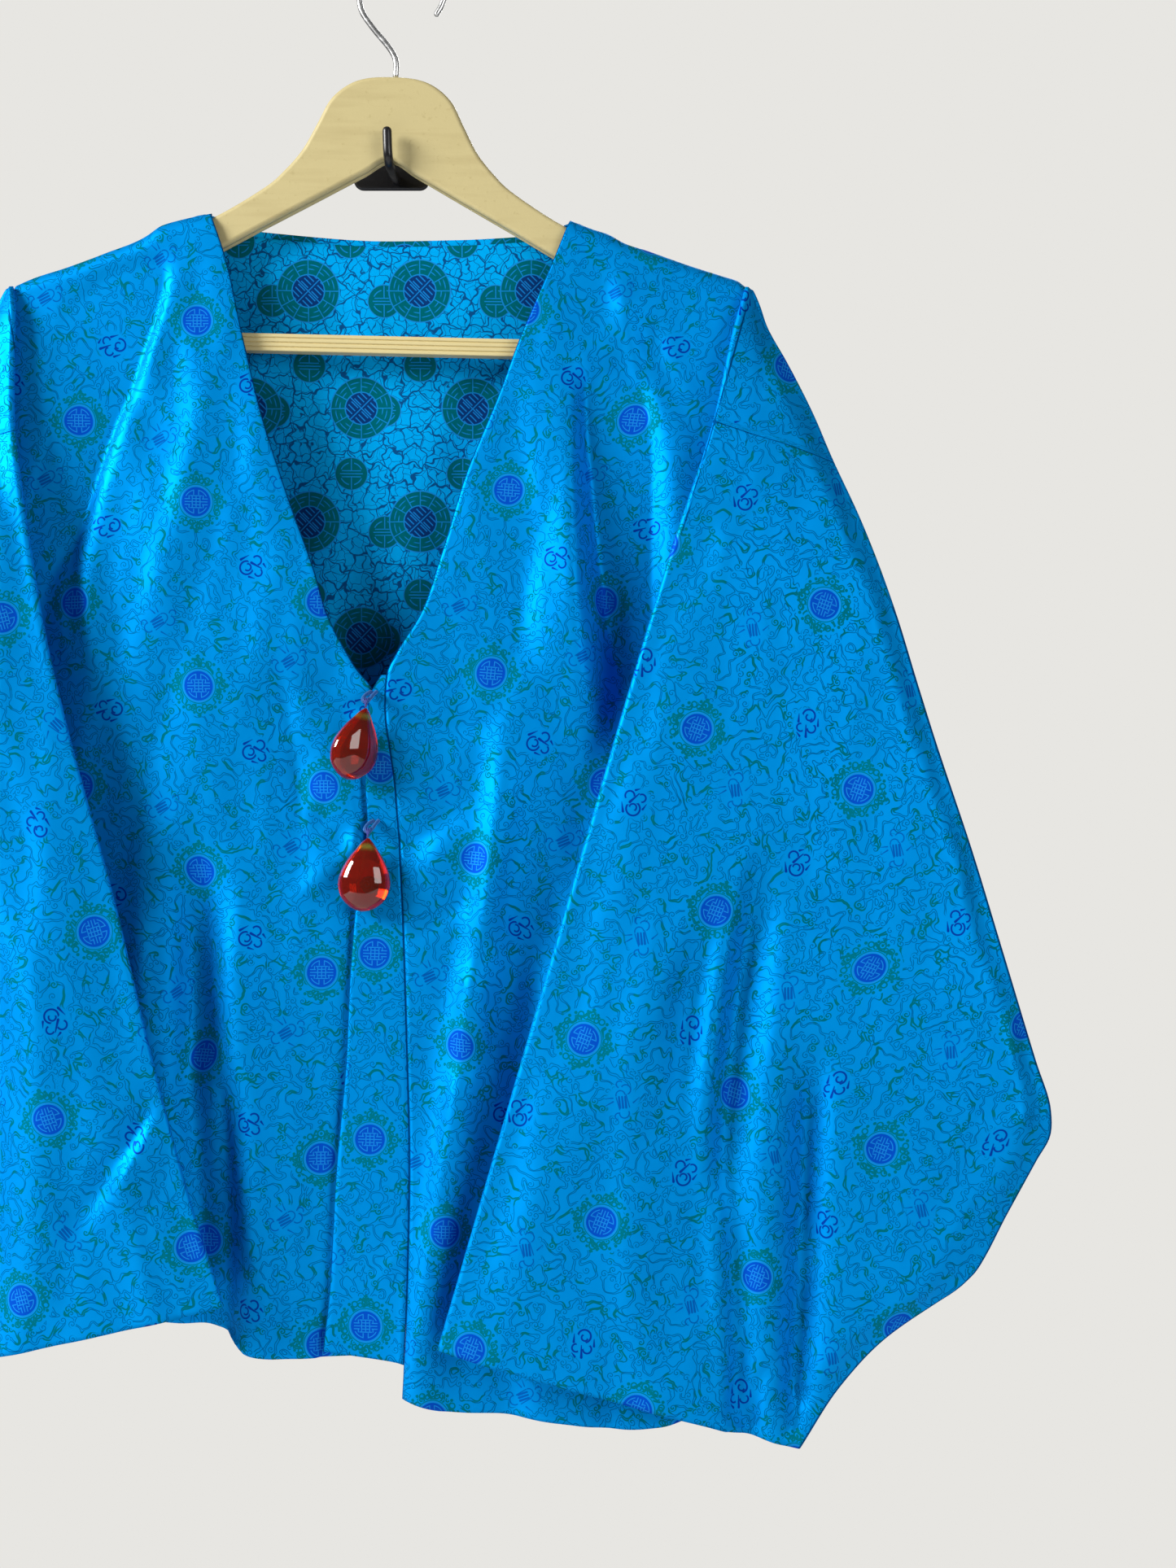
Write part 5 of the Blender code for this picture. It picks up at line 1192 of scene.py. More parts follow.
class Field:
    """A value that changes over a surface, worked out by a tree of shader nodes."""

    def __init__(self, tree, socket):
        self.tree = tree
        self.socket = socket

    def do(self, operation, *others, clamp=False):
        node = self.tree.nodes.new("ShaderNodeMath")
        node.operation = operation
        node.use_clamp = clamp
        for item, socket in zip((self, *others), node.inputs):
            feed(item, socket)
        return Field(self.tree, node.outputs[0])

    def vector(self, operation, *others):
        """A vector node. A scale takes a single number."""
        node = self.tree.nodes.new("ShaderNodeVectorMath")
        node.operation = operation
        sockets = (node.inputs[0], node.inputs["Scale"]) if operation == "SCALE" else node.inputs
        for item, socket in zip((self, *others), sockets):
            feed(item, socket)
        single = operation in ("LENGTH", "DISTANCE", "DOT_PRODUCT")
        return Field(self.tree, node.outputs["Value" if single else "Vector"])

    def __add__(self, other):
        return self.do("ADD", other)

    def __sub__(self, other):
        return self.do("SUBTRACT", other)

    def __mul__(self, other):
        return self.do("MULTIPLY", other)

    def __truediv__(self, other):
        return self.do("DIVIDE", other)

    def size(self):
        return self.do("ABSOLUTE")

    def length(self):
        return self.vector("LENGTH")

    def least(self, *others):
        found = self
        for other in others:
            found = found.do("MINIMUM", other)
        return found

    def most(self, *others):
        found = self
        for other in others:
            found = found.do("MAXIMUM", other)
        return found

    def under(self, limit):
        return self.do("LESS_THAN", limit)

    def over(self, limit):
        return self.do("GREATER_THAN", limit)

    def share(self):
        """How far this is into its whole number."""
        return self.do("FRACT")

    def clamped(self):
        return self.do("ADD", 0.0, clamp=True)

    def below(self, whole=1.0):
        """How far this is below a number."""
        return self * -1.0 + whole

    def line(self, at, half):
        """Distance outside a line that runs where this has one value."""
        return (self - at).size() - half

    def inside(self, soft=0.16):
        """1 where this distance is below 0, soft at the edge."""
        return self.do("MULTIPLY_ADD", -1.0 / soft, 0.5, clamp=True)

    def axes(self, count=2):
        node = self.tree.nodes.new("ShaderNodeSeparateXYZ")
        feed(self, node.inputs[0])
        return [Field(self.tree, socket) for socket in node.outputs[:count]]

    def texture(self, kind, scale, **settings):
        """A texture at this place. Its sockets are set by names in capitals, its properties by the others."""
        node = self.tree.nodes.new("ShaderNodeTex" + kind)
        for word, value in settings.items():
            if word.istitle():
                node.inputs[word].default_value = value
            else:
                setattr(node, word, value)
        node.inputs["Scale"].default_value = scale
        feed(self, node.inputs["Vector"])
        return {socket.name: Field(self.tree, socket) for socket in node.outputs}

    def noise(self, scale, detail=0.0):
        return self.texture("Noise", scale, noise_dimensions="2D", Detail=detail)

    def cells(self, scale, feature="F1"):
        return self.texture("Voronoi", scale, voronoi_dimensions="2D", feature=feature)


def joined(x, y):
    node = x.tree.nodes.new("ShaderNodeCombineXYZ")
    feed(x, node.inputs[0])
    feed(y, node.inputs[1])
    return Field(x.tree, node.outputs[0])


def mixed(under, over, mask):
    """One vector where a mask is 0 and another where it is 1."""
    mix = mask.tree.nodes.new("ShaderNodeMix")
    mix.data_type = "VECTOR"
    for item, number in ((mask, 0), (under, 4), (over, 5)):
        feed(item, mix.inputs[number])
    return Field(mask.tree, mix.outputs[1])


def as_group(name, **takes):
    """Makes a shader node group of a function, built when it is first placed. A take of None is a vector, and
    any other one is a number with that default. The function gives the group's outputs by name."""

    def group_of(build):
        def built():
            group = bpy.data.node_groups.new(name, "ShaderNodeTree")
            for word, value in takes.items():
                kind = "NodeSocketVector" if value is None else "NodeSocketFloat"
                socket = group.interface.new_socket(
                    name=word.replace("_", " "), in_out="INPUT", socket_type=kind
                )
                if value is not None:
                    socket.default_value = value
            start = group.nodes.new("NodeGroupInput")
            gives = build(*(Field(group, socket) for socket in start.outputs[: len(takes)]))
            for word, item in gives.items():
                kind = "NodeSocketVector" if item.socket.type == "VECTOR" else "NodeSocketFloat"
                group.interface.new_socket(name=word, in_out="OUTPUT", socket_type=kind)
            end = group.nodes.new("NodeGroupOutput")
            for word, item in gives.items():
                feed(item, end.inputs[word])
            return group

        def place(tree, **given):
            node = tree.nodes.new("ShaderNodeGroup")
            node.node_tree = bpy.data.node_groups.get(name) or built()
            for word, item in given.items():
                feed(item, node.inputs[word.replace("_", " ")])
            return {socket.name: Field(tree, socket) for socket in node.outputs}

        return place

    return group_of


@as_group("scrolls", Place=None, Line_Width=0.42)
def scrolls(place, width):
    """Outlines of drifting clouds with curled ends and fine dots inside them. Place is in millimetres."""

    def cloud(spot):
        moved = spot
        for scale, reach in ((0.05, 8.0), (0.2, 3.0)):
            drift = spot.noise(scale)["Color"].vector("SUBTRACT", MID_GREY)
            moved = moved.vector("ADD", drift.vector("MULTIPLY", (reach, reach, 0.0)))
        return moved.noise(0.15)["Fac"]

    step = 0.25
    here = cloud(place)
    beside, below = (cloud(place.vector("ADD", way)) for way in ((step, 0.0, 0.0), (0.0, step, 0.0)))
    slope = joined(beside - here, below - here).length() * (1.0 / step)
    level = ((here - 0.44).size()).least((here - 0.56).size()) / slope.most(0.02)
    cells = place.cells(0.165)
    chance = cells["Color"].axes(3)
    local = place.vector("SUBTRACT", cells["Position"]).vector("MULTIPLY", FLATTEN)
    local_x, local_y = local.axes()
    reach = local.length()
    turned = local_y.do("ARCTAN2", local_x) * (1 / (2 * math.pi))
    hand = chance[0].over(0.5) * 2.0 - 1.0
    coil = (reach * (1 / 1.45) + turned * hand + chance[1]).share() - 0.5
    curl = (coil.size() * 1.45).most(reach - 1.75)
    kept = chance[2].over(0.42)
    open_field = (reach - 2.0).over(0.0).most(kept.below())
    stroke = ((place.noise(0.13)["Fac"] - 0.58) * 9.0).clamped()
    half = width * 0.5
    lines = (level - half - stroke * 0.22).inside(0.2) * open_field
    lines = lines.most((curl - half - stroke * 0.15).inside(0.2) * kept)
    wreath = (level - 0.5).inside(0.2) * open_field
    speck = (place.cells(0.85)["Distance"] - 0.17).inside(0.1)
    dots = speck * (level - 2.6).under(0.0) * (level - 0.4).over(0.0) * (here - 0.54).size().under(0.04)
    return {
        "Lines": lines,
        "Strokes": lines * stroke,
        "Wreath": wreath.most((curl - 0.4).inside(0.2) * kept),
        "Dots": dots * open_field,
    }


@as_group("lattice place", Place=None, Repeat_Width=140.0, Repeat_Height=100.0, Shift_Across=0.0, Shift_Up=0.0)
def lattice(place, width, height, across, up):
    """Place within one repeat of a pattern, counted from its middle. Shifts are in shares of the repeat."""
    x, y = place.axes()
    x = (x / width - across + 0.5).share() - 0.5
    y = (y / height - up + 0.5).share() - 0.5
    return {"Local": joined(x * width, y * height)}


def bar_distance(x, y, middle_x, middle_y, half_x, half_y):
    """Distance outside an upright bar, from absolute places."""
    return x.line(middle_x, half_x).most(y.line(middle_y, half_y))


@as_group("medallion", Local=None)
def medallion(local):
    """A round fret in a ring, with a bud at each quarter and curls between. Local is in millimetres."""
    x, y = [part.size() for part in local.axes()]
    reach = local.length()
    disc = (reach - 8.1).inside()
    arcs = reach.line(6.5, 0.26).most(y.below(3.0), x.below(1.4))
    first, *bars = [bar_distance(x, y, *bar) for bar in FRET_BARS]
    fret = first.least(*bars, arcs).inside() * disc
    long, short = x.most(y), x.least(y)

    def beside(across, off):
        return joined(long - across, short - off).length()

    bud = joined(long - 13.4, short).length()
    leaf = reach.line(9.6, 0.24).least(bud.line(1.9, 0.42), bud - 0.8, (long - 16.4).size() + short * 0.8 - 1.1)
    leaf = leaf.least(beside(14.6, 2.9) - 0.8, beside(11.4, 3.0).line(1.2, 0.36))
    leaf = leaf.least(beside(11.8, 6.0).line(1.5, 0.4), beside(11.6, 9.0) - 0.9)
    return {
        "Disc": disc,
        "Fret": fret.most(reach.line(8.7, 0.32).inside()),
        "Leaf": leaf.inside(0.2),
        "Wreath": (reach - 10.1).over(0.0) * (reach - (long * short * 0.035).below(16.6)).under(0.0),
    }


def ornament_mask(local, strokes):
    found = []
    for item in strokes:
        if isinstance(item, Stroke):
            way_x, way_y = item.x1 - item.x0, item.y1 - item.y0
            square = way_x**2 + way_y**2
            off = local.vector("SUBTRACT", (item.x0, item.y0, 0.0))
            part = off.vector("DOT_PRODUCT", (way_x / square, way_y / square, 0.0)).clamped()
            nearest = joined(part * way_x, part * way_y)
            apart = off.vector("DISTANCE", nearest) + part * (item.half - item.end) - item.half
        else:
            size = math.hypot(item.open_x, item.open_y)
            off = local.vector("SUBTRACT", (item.x, item.y, 0.0))
            side = off.vector("DOT_PRODUCT", (item.open_x / size, item.open_y / size, 0.0))
            apart = off.length().line(item.radius, item.half).most(side - item.cut)
        found.append(apart)
    return found[0].least(*found[1:]).inside(0.25)


@as_group("ornaments", Place=None, Repeat_Width=140.0, Repeat_Height=100.0)
def ornaments(place, width, height):
    """Navy brush ornaments and striped ribbon ornaments of the brocade. Place is in millimetres."""
    masks, near = [], []
    for across, up, strokes in ORNAMENTS:
        local = lattice(
            place.tree, Place=place, Repeat_Width=width, Repeat_Height=height, Shift_Across=across, Shift_Up=up
        )["Local"]
        masks.append(ornament_mask(local, strokes))
        near.append(local.length() - 9.0)
    return {
        "Brush": masks[0].most(masks[1]),
        "Ribbon": masks[2].most(masks[3]),
        "Clearing": near[0].least(*near[1:]).inside(2.0),
    }


@as_group("brocade pattern", Place=None, Repeat_Width=140.0, Repeat_Height=100.0, Line_Width=0.42)
def brocade_pattern(place, width, height, line_width):
    """The whole pattern of the brocade, as masks. Place is in metres of cloth."""
    tree, place = place.tree, place.vector("SCALE", 1000.0)
    repeat = {"Repeat_Width": width, "Repeat_Height": height}
    first = lattice(tree, Place=place, **repeat)["Local"]
    second = lattice(tree, Place=place, Shift_Across=0.5, Shift_Up=-0.545, **repeat)["Local"]
    local = mixed(second, first, first.length().under(second.length()))
    round_one = medallion(tree, Local=local)
    marks = ornaments(tree, Place=place, **repeat)
    clouds = scrolls(tree, Place=place, Line_Width=line_width)
    bare = (local.length() - 16.8).over(0.0) * marks["Clearing"].below()
    return {
        "Lines": clouds["Lines"] * bare,
        "Green": (clouds["Strokes"] * bare).most(round_one["Leaf"], clouds["Wreath"] * round_one["Wreath"]),
        "Disc": round_one["Disc"],
        "Fret": round_one["Fret"],
        "Brush": marks["Brush"],
        "Ribbon": marks["Ribbon"],
        "Dots": clouds["Dots"] * bare,
    }


@as_group("satin weave", Place=None, Threads_Per_Metre=2600.0)
def satin_weave(place, threads):
    """Floats of a satin weave, as a height, and its slow unevenness. Place is in metres of cloth."""
    x, y = place.vector("SCALE", threads).axes()
    warp = (x * (2 * math.pi)).do("SINE") * 0.5
    floats = ((x * 0.4 + y * 0.2).share() - 0.5).size() * 2.0
    return {"Height": warp + floats, "Unevenness": place.noise(38.0, 2.0)["Fac"]}


@as_group("sewn seam", Seam=None, Line_Width=0.22, Pucker=0.5)
def sewn_seam(seam, line_width, pucker):
    """A sewn seam: a thin dark line with puckers beside it. Where the line runs along a free edge, the dark line is
    painted shade. Seam is the distance from it and the run along it.
    """
    apart, run = seam.vector("SCALE", 1000.0).axes()
    pull = joined(run, apart * 0.25).noise(0.22)["Fac"] - 0.5
    fade = (apart * -0.16 + 1.0).most(0.0)
    height = (apart.least(1.6) * 0.1) + pull * fade * pucker
    return {"Shade": (apart - line_width).inside(0.35), "Height": height}


@as_group("roundels", Place=None, Repeat_Width=63.0, Repeat_Height=130.0)
def roundels(place, width, height):
    """Large and small roundels of the lining over a net of veined petals. Place is in metres of cloth."""
    tree, place = place.tree, place.vector("SCALE", 1000.0)

    def nearest(*spots):
        best = None
        for across, up in spots:
            local = lattice(
                tree, Place=place, Repeat_Width=width, Repeat_Height=height, Shift_Across=across, Shift_Up=up
            )["Local"]
            far = local.length()
            if best is None:
                best, reach = local, far
            else:
                best, reach = mixed(best, local, far.under(reach)), far.least(reach)
        return best, reach

    big, far = nearest((0.0, 0.0), (0.47, -0.505))
    small, near = nearest((0.38, 0.21), (0.68, -0.045), (0.0, -0.32), (-0.32, -0.515))
    x, y = big.axes()
    folded = (y.do("ARCTAN2", x) * (6 / math.pi)).share()
    meander = far.line(14.6, 0.28).most((folded - 0.5).size() - 0.3)
    meander = meander.least(far.line(12.2, 0.28).most(folded.below(0.5)))
    spoke = (folded - 0.5).size().below(0.5) * far * (math.pi / 6) - 0.28
    light = meander.least(spoke).most(far.below(9.3)).least(far.line(17.4, 0.4), far.line(9.1, 0.34))
    cross, other = (x + y) * 0.7071, (x - y) * 0.7071
    hatch = ((cross * 0.42).share() - 0.5).size() * 2.4 - 0.34
    hatch = hatch.most(other.size().line(4.0, 2.6))
    light = light.least(hatch.least(cross.size() - 0.3, other.size() - 0.3).most(far - 9.0))
    small_x, small_y = [part.size() for part in small.axes()]
    bars = [
        bar_distance(small_x, small_y, *bar)
        for bar in ((0.0, 5.2, 0.3, 3.4), (0.0, 0.0, 6.4, 0.3), (0.0, 1.7, 5.4, 0.28))
    ]
    arcs = near.line(6.2, 0.32).most(small_y.below(2.6), small_x.below(1.5))
    small_light = bars[0].least(bars[1].least(bars[2]), arcs, near.line(9.2, 0.34)).most(near - 9.6)
    rounds = (far - 17.4).least(near - 9.2).inside(0.3)
    drift = place.noise(0.2)["Color"].vector("SUBTRACT", MID_GREY).vector("SCALE", 5.0)
    moved = place.vector("ADD", drift).vector("MULTIPLY", FLATTEN)
    veins, petals = (moved.cells(scale, "DISTANCE_TO_EDGE")["Distance"] * (1 / scale) for scale in (0.2, 0.09))
    return {
        "Veins": (veins - 0.2).least(petals - 0.44).inside(0.22) * rounds.below(),
        "Green": rounds,
        "Core": (far - 8.9).inside(0.3),
        "Light": light.most(far - 17.9).least(small_light.most(far.below(17.9))).inside(0.25),
    }


@as_group("specks", Place=None, Scale=400.0)
def specks(place, scale):
    """Fine specks and faint streaks of a moulded or worn surface, as masks."""
    place = place.vector("SCALE", scale)
    fine = place.texture("Noise", 1.0, Detail=4.0)["Fac"]
    long = place.vector("MULTIPLY", (0.06, 0.5, 0.5)).texture("Noise", 1.0, Detail=2.0)["Fac"]
    return {
        "Specks": ((fine - 0.63) * 12.0).clamped(),
        "Streaks": ((long - 0.45) * 2.5).clamped(),
        "Height": fine,
    }


def cloth_place(tree, layer):
    node = tree.nodes.new("ShaderNodeUVMap")
    node.uv_map = layer
    return Field(tree, node.outputs["UV"])


def object_place(tree):
    return Field(tree, tree.nodes.new("ShaderNodeTexCoord").outputs["Object"])


def tinted(tree, under, *layers):
    """A colour with others laid over it, each where its mask is 1 and by its own strength."""
    for over, mask, strength in layers:
        mix = tree.nodes.new("ShaderNodeMix")
        mix.data_type = "RGBA"
        feed(mask * strength if strength != 1.0 else mask, mix.inputs[0])
        for item, socket in ((under, mix.inputs[6]), (over, mix.inputs[7])):
            feed(item if isinstance(item, Field) else (*item[:3], 1.0), socket)
        under = Field(tree, mix.outputs[2])
    return under


def set_shader(shader, **values):
    for word, item in values.items():
        feed(item, shader.inputs[word.replace("_", " ")])


def add_bump(shader, height, distance, strength):
    bump = height.tree.nodes.new("ShaderNodeBump")
    bump.inputs["Distance"].default_value = distance
    bump.inputs["Strength"].default_value = strength
    feed(height, bump.inputs["Height"])
    feed(Field(height.tree, bump.outputs["Normal"]), shader.inputs["Normal"])


# ---- finishes


def brocade(tree, shader, colours, panel):
    pattern = bpy.context.scene.jacket_pattern
    place = cloth_place(tree, "cloth")
    masks = brocade_pattern(
        tree,
        Place=place,
        Repeat_Width=getattr(pattern, panel + "_width") * 1000,
        Repeat_Height=getattr(pattern, panel + "_height") * 1000,
        Line_Width=pattern.line_width * 1000,
    )
    weave = satin_weave(tree, Place=place)
    # A wide seam line: dark seam lines, and painted shade over the rims at the cloth's edges that dulls their
    # highlight.
    seam = sewn_seam(tree, Seam=cloth_place(tree, "seam"), Line_Width=0.5)
    colour = tinted(
        tree, colours.satin,
        (colours.satin_deep, weave["Unevenness"], 0.55),
        (colours.scroll, masks["Dots"], 0.6),
        (colours.scroll, masks["Lines"], 0.86),
        (colours.leaf, masks["Green"], 0.9),
        (colours.brush, masks["Ribbon"], 0.72),
        (colours.brush, masks["Brush"], 1.0),
        (colours.disc, masks["Disc"], 1.0),
        (colours.fret, masks["Fret"], 1.0),
        (colours.seam, seam["Shade"], 0.85),
    )
    matt = masks["Lines"].most(masks["Disc"], masks["Green"])
    roughness = matt * 0.1 + seam["Shade"] * 0.3 + 0.52
    set_shader(shader, Base_Color=colour, Roughness=roughness, Metallic=0.45, Specular_IOR_Level=0.0)
    add_bump(shader, weave["Height"] * 0.04 + masks["Disc"] * -0.12 + seam["Height"] * 0.6, 0.0003, 0.6)


def figured_lining(tree, shader, colours):
    place = cloth_place(tree, "cloth")
    masks = roundels(tree, Place=place)
    weave = satin_weave(tree, Place=place)
    seam = sewn_seam(tree, Seam=cloth_place(tree, "seam"))
    colour = tinted(
        tree, colours.lining,
        (colours.satin_deep, weave["Unevenness"], 0.5),
        (colours.vein, masks["Veins"], 0.88),
        (colours.roundel, masks["Green"], 1.0),
        (colours.vein, masks["Core"], 1.0),
        (colours.fret, masks["Light"], 0.8),
        (colours.seam, seam["Shade"], 0.9),
    )
    roughness = masks["Green"] * 0.1 + 0.42
    set_shader(shader, Base_Color=colour, Roughness=roughness, Metallic=0.15, Specular_IOR_Level=0.0)
    add_bump(shader, weave["Height"] * 0.05 + masks["Veins"] * -0.3 + seam["Height"], 0.0003, 0.5)


def moulded(tree, shader, colours, light, deep, roughness):
    marks = specks(tree, Place=object_place(tree))
    light, deep = getattr(colours, light), getattr(colours, deep) if isinstance(deep, str) else deep
    shade = tinted(tree, light, (deep, marks["Streaks"], 0.5), (deep, marks["Specks"], 0.35))
    set_shader(shader, Base_Color=shade, Roughness=marks["Streaks"] * 0.12 + roughness)
    add_bump(shader, marks["Height"], 0.0002, 0.35)


def metal(tree, shader, colours):
    marks = specks(tree, Place=object_place(tree), Scale=900.0)
    shade = tinted(tree, colours.wire, (DULL_ZINC, marks["Specks"], 0.6))
    set_shader(shader, Base_Color=shade, Roughness=marks["Streaks"] * 0.2 + 0.32, Metallic=1.0)
    add_bump(shader, marks["Height"], 0.0001, 0.3)


def amber(tree, shader, colours):
    z = cloth_place(tree, "drop").axes()[1]
    cloud = object_place(tree).texture("Noise", 120.0)["Fac"]
    drift = (cloud - 0.5) * 0.003
    glow = ((z + 0.0046 + drift * 0.3).size() * -520.0 + 1.2).clamped()
    shade = tinted(tree, colours.amber, (colours.amber_band, glow, 0.85))
    set_shader(shader, Base_Color=shade, Roughness=cloud * 0.05 + 0.02, Transmission_Weight=0.88, IOR=1.52)
    set_shader(shader, Coat_Weight=0.4, Coat_Roughness=0.03)


def spun(tree, shader, colours, strand):
    weave = satin_weave(tree, Place=object_place(tree))
    # Darker stripes laid by the weave's height: painted shade between the thread's strands.
    shade = tinted(tree, getattr(colours, strand), (colours.thread_deep, weave["Height"].clamped(), 0.6))
    set_shader(shader, Base_Color=shade, Roughness=0.5, Sheen_Weight=0.3)
    add_bump(shader, weave["Height"], 0.0003, 0.6)


def studio_floor(tree, shader, colours):
    marks = specks(tree, Place=object_place(tree), Scale=30.0)
    shade = tinted(tree, colours.floor, (WORN_FLOOR, marks["Streaks"], 0.25))
    set_shader(shader, Base_Color=shade, Roughness=0.85)


FINISHES = {
    "brocade body": (brocade, "body"),
    "brocade sleeve": (brocade, "sleeve"),
    "figured lining": (figured_lining,),
    "moulded cream": (moulded, "hanger", "hanger_deep", 0.42),
    # The bar is the hanger's same cream, painted lighter as painted light for the light that falls on it.
    "moulded bar": (moulded, "bar", "hanger", 0.42),
    "coated hook": (moulded, "hook", WORN_HOOK, 0.28),
    "zinc wire": (metal,),
    "clear amber": (amber,),
    "silk thread": (spun, "thread"),
    "satin cord": (spun, "cord"),
    "studio floor": (studio_floor,),
}


def finish(name):
    """One of the jacket's finishes, made when it is first wanted."""
    found = bpy.data.materials.get(name)
    if found is None:
        found = bpy.data.materials.new(name)
        found.use_nodes = True
        paint, *given = FINISHES[name]
        tree = found.node_tree
        paint(tree, tree.nodes["Principled BSDF"], bpy.context.scene.jacket_colours, *given)
    return found


def painted(name, mesh, word, slot, *nodes):
    mesh.materials.append(finish(word))
    return dress(put(name, mesh), slot, *nodes)


# ---- what a user can change


def length(name, about, default, least, most):
    return bpy.props.FloatProperty(
        name=name, description=about, default=default, min=least, max=most,
        subtype="DISTANCE", unit="LENGTH", precision=4,
    )


def colour(name, about, red, green, blue):
    return bpy.props.FloatVectorProperty(
        name=name, description=about, default=(red, green, blue), size=3, min=0.0, max=1.0, subtype="COLOR"
    )


class JacketSizes(bpy.types.PropertyGroup):
    """Fineness and thickness of the cloth"""

    grid_step: length("Front Step", "Spacing of the points on the fronts", 0.0026, 0.0015, 0.02)
    sleeve_step: length("Sleeve Step", "Spacing of the points on the sleeves", 0.003, 0.0015, 0.02)
    back_step: length("Back Step", "Spacing of the points on the back", 0.0042, 0.002, 0.02)
    cloth_wall: length("Cloth Thickness", "Brocade with its lining behind it", 0.0012, 0.0004, 0.0016)
    lining_wall: length("Lining Thickness", "Lining inside the back", 0.0005, 0.0002, 0.001)


class JacketPattern(bpy.types.PropertyGroup):
    """Repeats of the woven pattern"""

    body_width: length("Body Repeat Width", "From one medallion to the next across the body", 0.142, 0.02, 0.5)
    body_height: length("Body Repeat Height", "From one medallion to the next down the body", 0.1015, 0.02, 0.5)
    sleeve_width: length("Sleeve Repeat Width", "From one medallion to the next down a sleeve", 0.176, 0.02, 0.5)
    sleeve_height: length("Sleeve Repeat Height", "From one medallion to the next across a sleeve", 0.095, 0.02, 0.5)
    line_width: length("Line Width", "Width of the scrolling lines", 0.00042, 0.0001, 0.002)


class JacketColours(bpy.types.PropertyGroup):
    """Colours of the cloth, the buttons, the hanger and the hook"""

    satin: colour("Satin", "Ground of the brocade", 0.0, 0.30, 0.80)
    satin_deep: colour("Deep Satin", "Ground where the weave lies the other way", 0.0, 0.25, 0.72)
    scroll: colour("Scroll Lines", "Scrolling lines", 0.0, 0.10, 0.29)
    leaf: colour("Leaf", "Thicker strokes and leaves", 0.0, 0.17, 0.20)
    brush: colour("Brush Marks", "Navy ornaments", 0.002, 0.04, 0.36)
    disc: colour("Medallion", "Ground of the medallions", 0.002, 0.085, 0.58)
    fret: colour("Fret", "Fret inside the medallions", 0.01, 0.26, 0.76)
    # Dark seam lines; on the brocade the same colour is also painted shade along free edges and rims.
    seam: colour("Seam", "Shadow along a sewn seam", 0.0, 0.05, 0.21)
    lining: colour("Lining", "Ground of the lining", 0.0, 0.45, 1.0)
    vein: colour("Lining Veins", "Net of veins on the lining", 0.004, 0.04, 0.18)
    roundel: colour("Roundel", "Ground of the lining's roundels", 0.0, 0.13, 0.17)
    amber: colour("Amber", "Body of the buttons", 0.82, 0.022, 0.001)
    amber_band: colour("Amber Band", "Bright band near the top of the buttons", 1.0, 0.62, 0.05)
    thread: colour("Thread", "Thread that carries the buttons", 0.05, 0.06, 0.42)
    cord: colour("Cord", "Rolled satin of the button loops", 0.0, 0.16, 0.52)
    # Painted shade between the thread's strands.
    thread_deep: colour("Deep Thread", "Thread between its strands", 0.01, 0.02, 0.16)
    hanger: colour("Hanger", "Moulded cream of the hanger", 0.60, 0.51, 0.255)
    hanger_deep: colour("Hanger Streaks", "Streaks in the hanger's cream", 0.44, 0.35, 0.15)
    # The bar is the same cream as the hanger, painted lighter: painted light.
    bar: colour("Bar", "Moulded cream of the bar", 0.72, 0.61, 0.31)
    wire: colour("Wire", "Zinc plated wire", 0.80, 0.805, 0.81)
    hook: colour("Hook", "Black coating of the wall hook", 0.008, 0.008, 0.01)
    floor: colour("Floor", "Studio floor", 0.80, 0.80, 0.79)
    daylight: colour("Daylight", "Light all round", 1.0, 0.99, 0.97)


# ---- one operator for each group of pieces


class Jacket_OT_back(bpy.types.Operator):
    """Builds the back of the jacket and the lining inside it"""

    bl_idname = "jacket.back"
    bl_label = "Back and Lining"

    def execute(self, context):
        back, lining = back_sheets()
        dress(back, "brocade", "back", "back_top", "back_upper")
        dress(lining, "lining", "back_lining")
        return {"FINISHED"}


class Jacket_OT_fronts(bpy.types.Operator):
    """Builds the two fronts"""

    bl_idname = "jacket.fronts"
    bl_label = "Fronts"

    def execute(self, context):
        for side, here in SIDES.items():
            front = front_sheet(side)
            dress(front, "brocade", "front_" + here.word)
        return {"FINISHED"}


class Jacket_OT_placket(bpy.types.Operator):
    """Builds the placket strip down the left front's edge"""

    bl_idname = "jacket.placket"
    bl_label = "Placket"

    def execute(self, context):
        strip = placket_sheet()
        dress(strip, "brocade", "placket")
        return {"FINISHED"}


class Jacket_OT_sleeves(bpy.types.Operator):
    """Builds the two wide sleeves with the shoulder ends above them"""

    bl_idname = "jacket.sleeves"
    bl_label = "Sleeves"

    def execute(self, context):
        for side, here in SIDES.items():
            sleeve = sleeve_sheet(side)
            dress(sleeve, "brocade", "sleeve_" + here.word, "shoulder_end_" + here.word)
        return {"FINISHED"}


class Jacket_OT_hanger(bpy.types.Operator):
    """Builds the hanger, its bar and its wire hook"""

    bl_idname = "jacket.hanger"
    bl_label = "Hanger"

    def execute(self, context):
        painted("hanger_body", hanger_mesh(), "moulded cream", "hanger", "hanger")
        painted("bar", bar_mesh(), "moulded bar", "hanger", "hanger_bar")
        painted("wire", wire_mesh(), "zinc wire", "wire", "wire_hook")
        return {"FINISHED"}


class Jacket_OT_wall_hook(bpy.types.Operator):
    """Builds the wall plate and its peg"""

    bl_idname = "jacket.wall_hook"
    bl_label = "Wall Hook"

    def execute(self, context):
        painted("hook_plate", plate_mesh(), "coated hook", "hook", "wall_hook")
        peg = tube_mesh("hook_peg", smooth_route(PEG_ROUTE, 8), PEG_RADIUS, 24, round_end=True)
        painted("hook_peg", peg, "coated hook", "hook", "wall_hook")
        return {"FINISHED"}


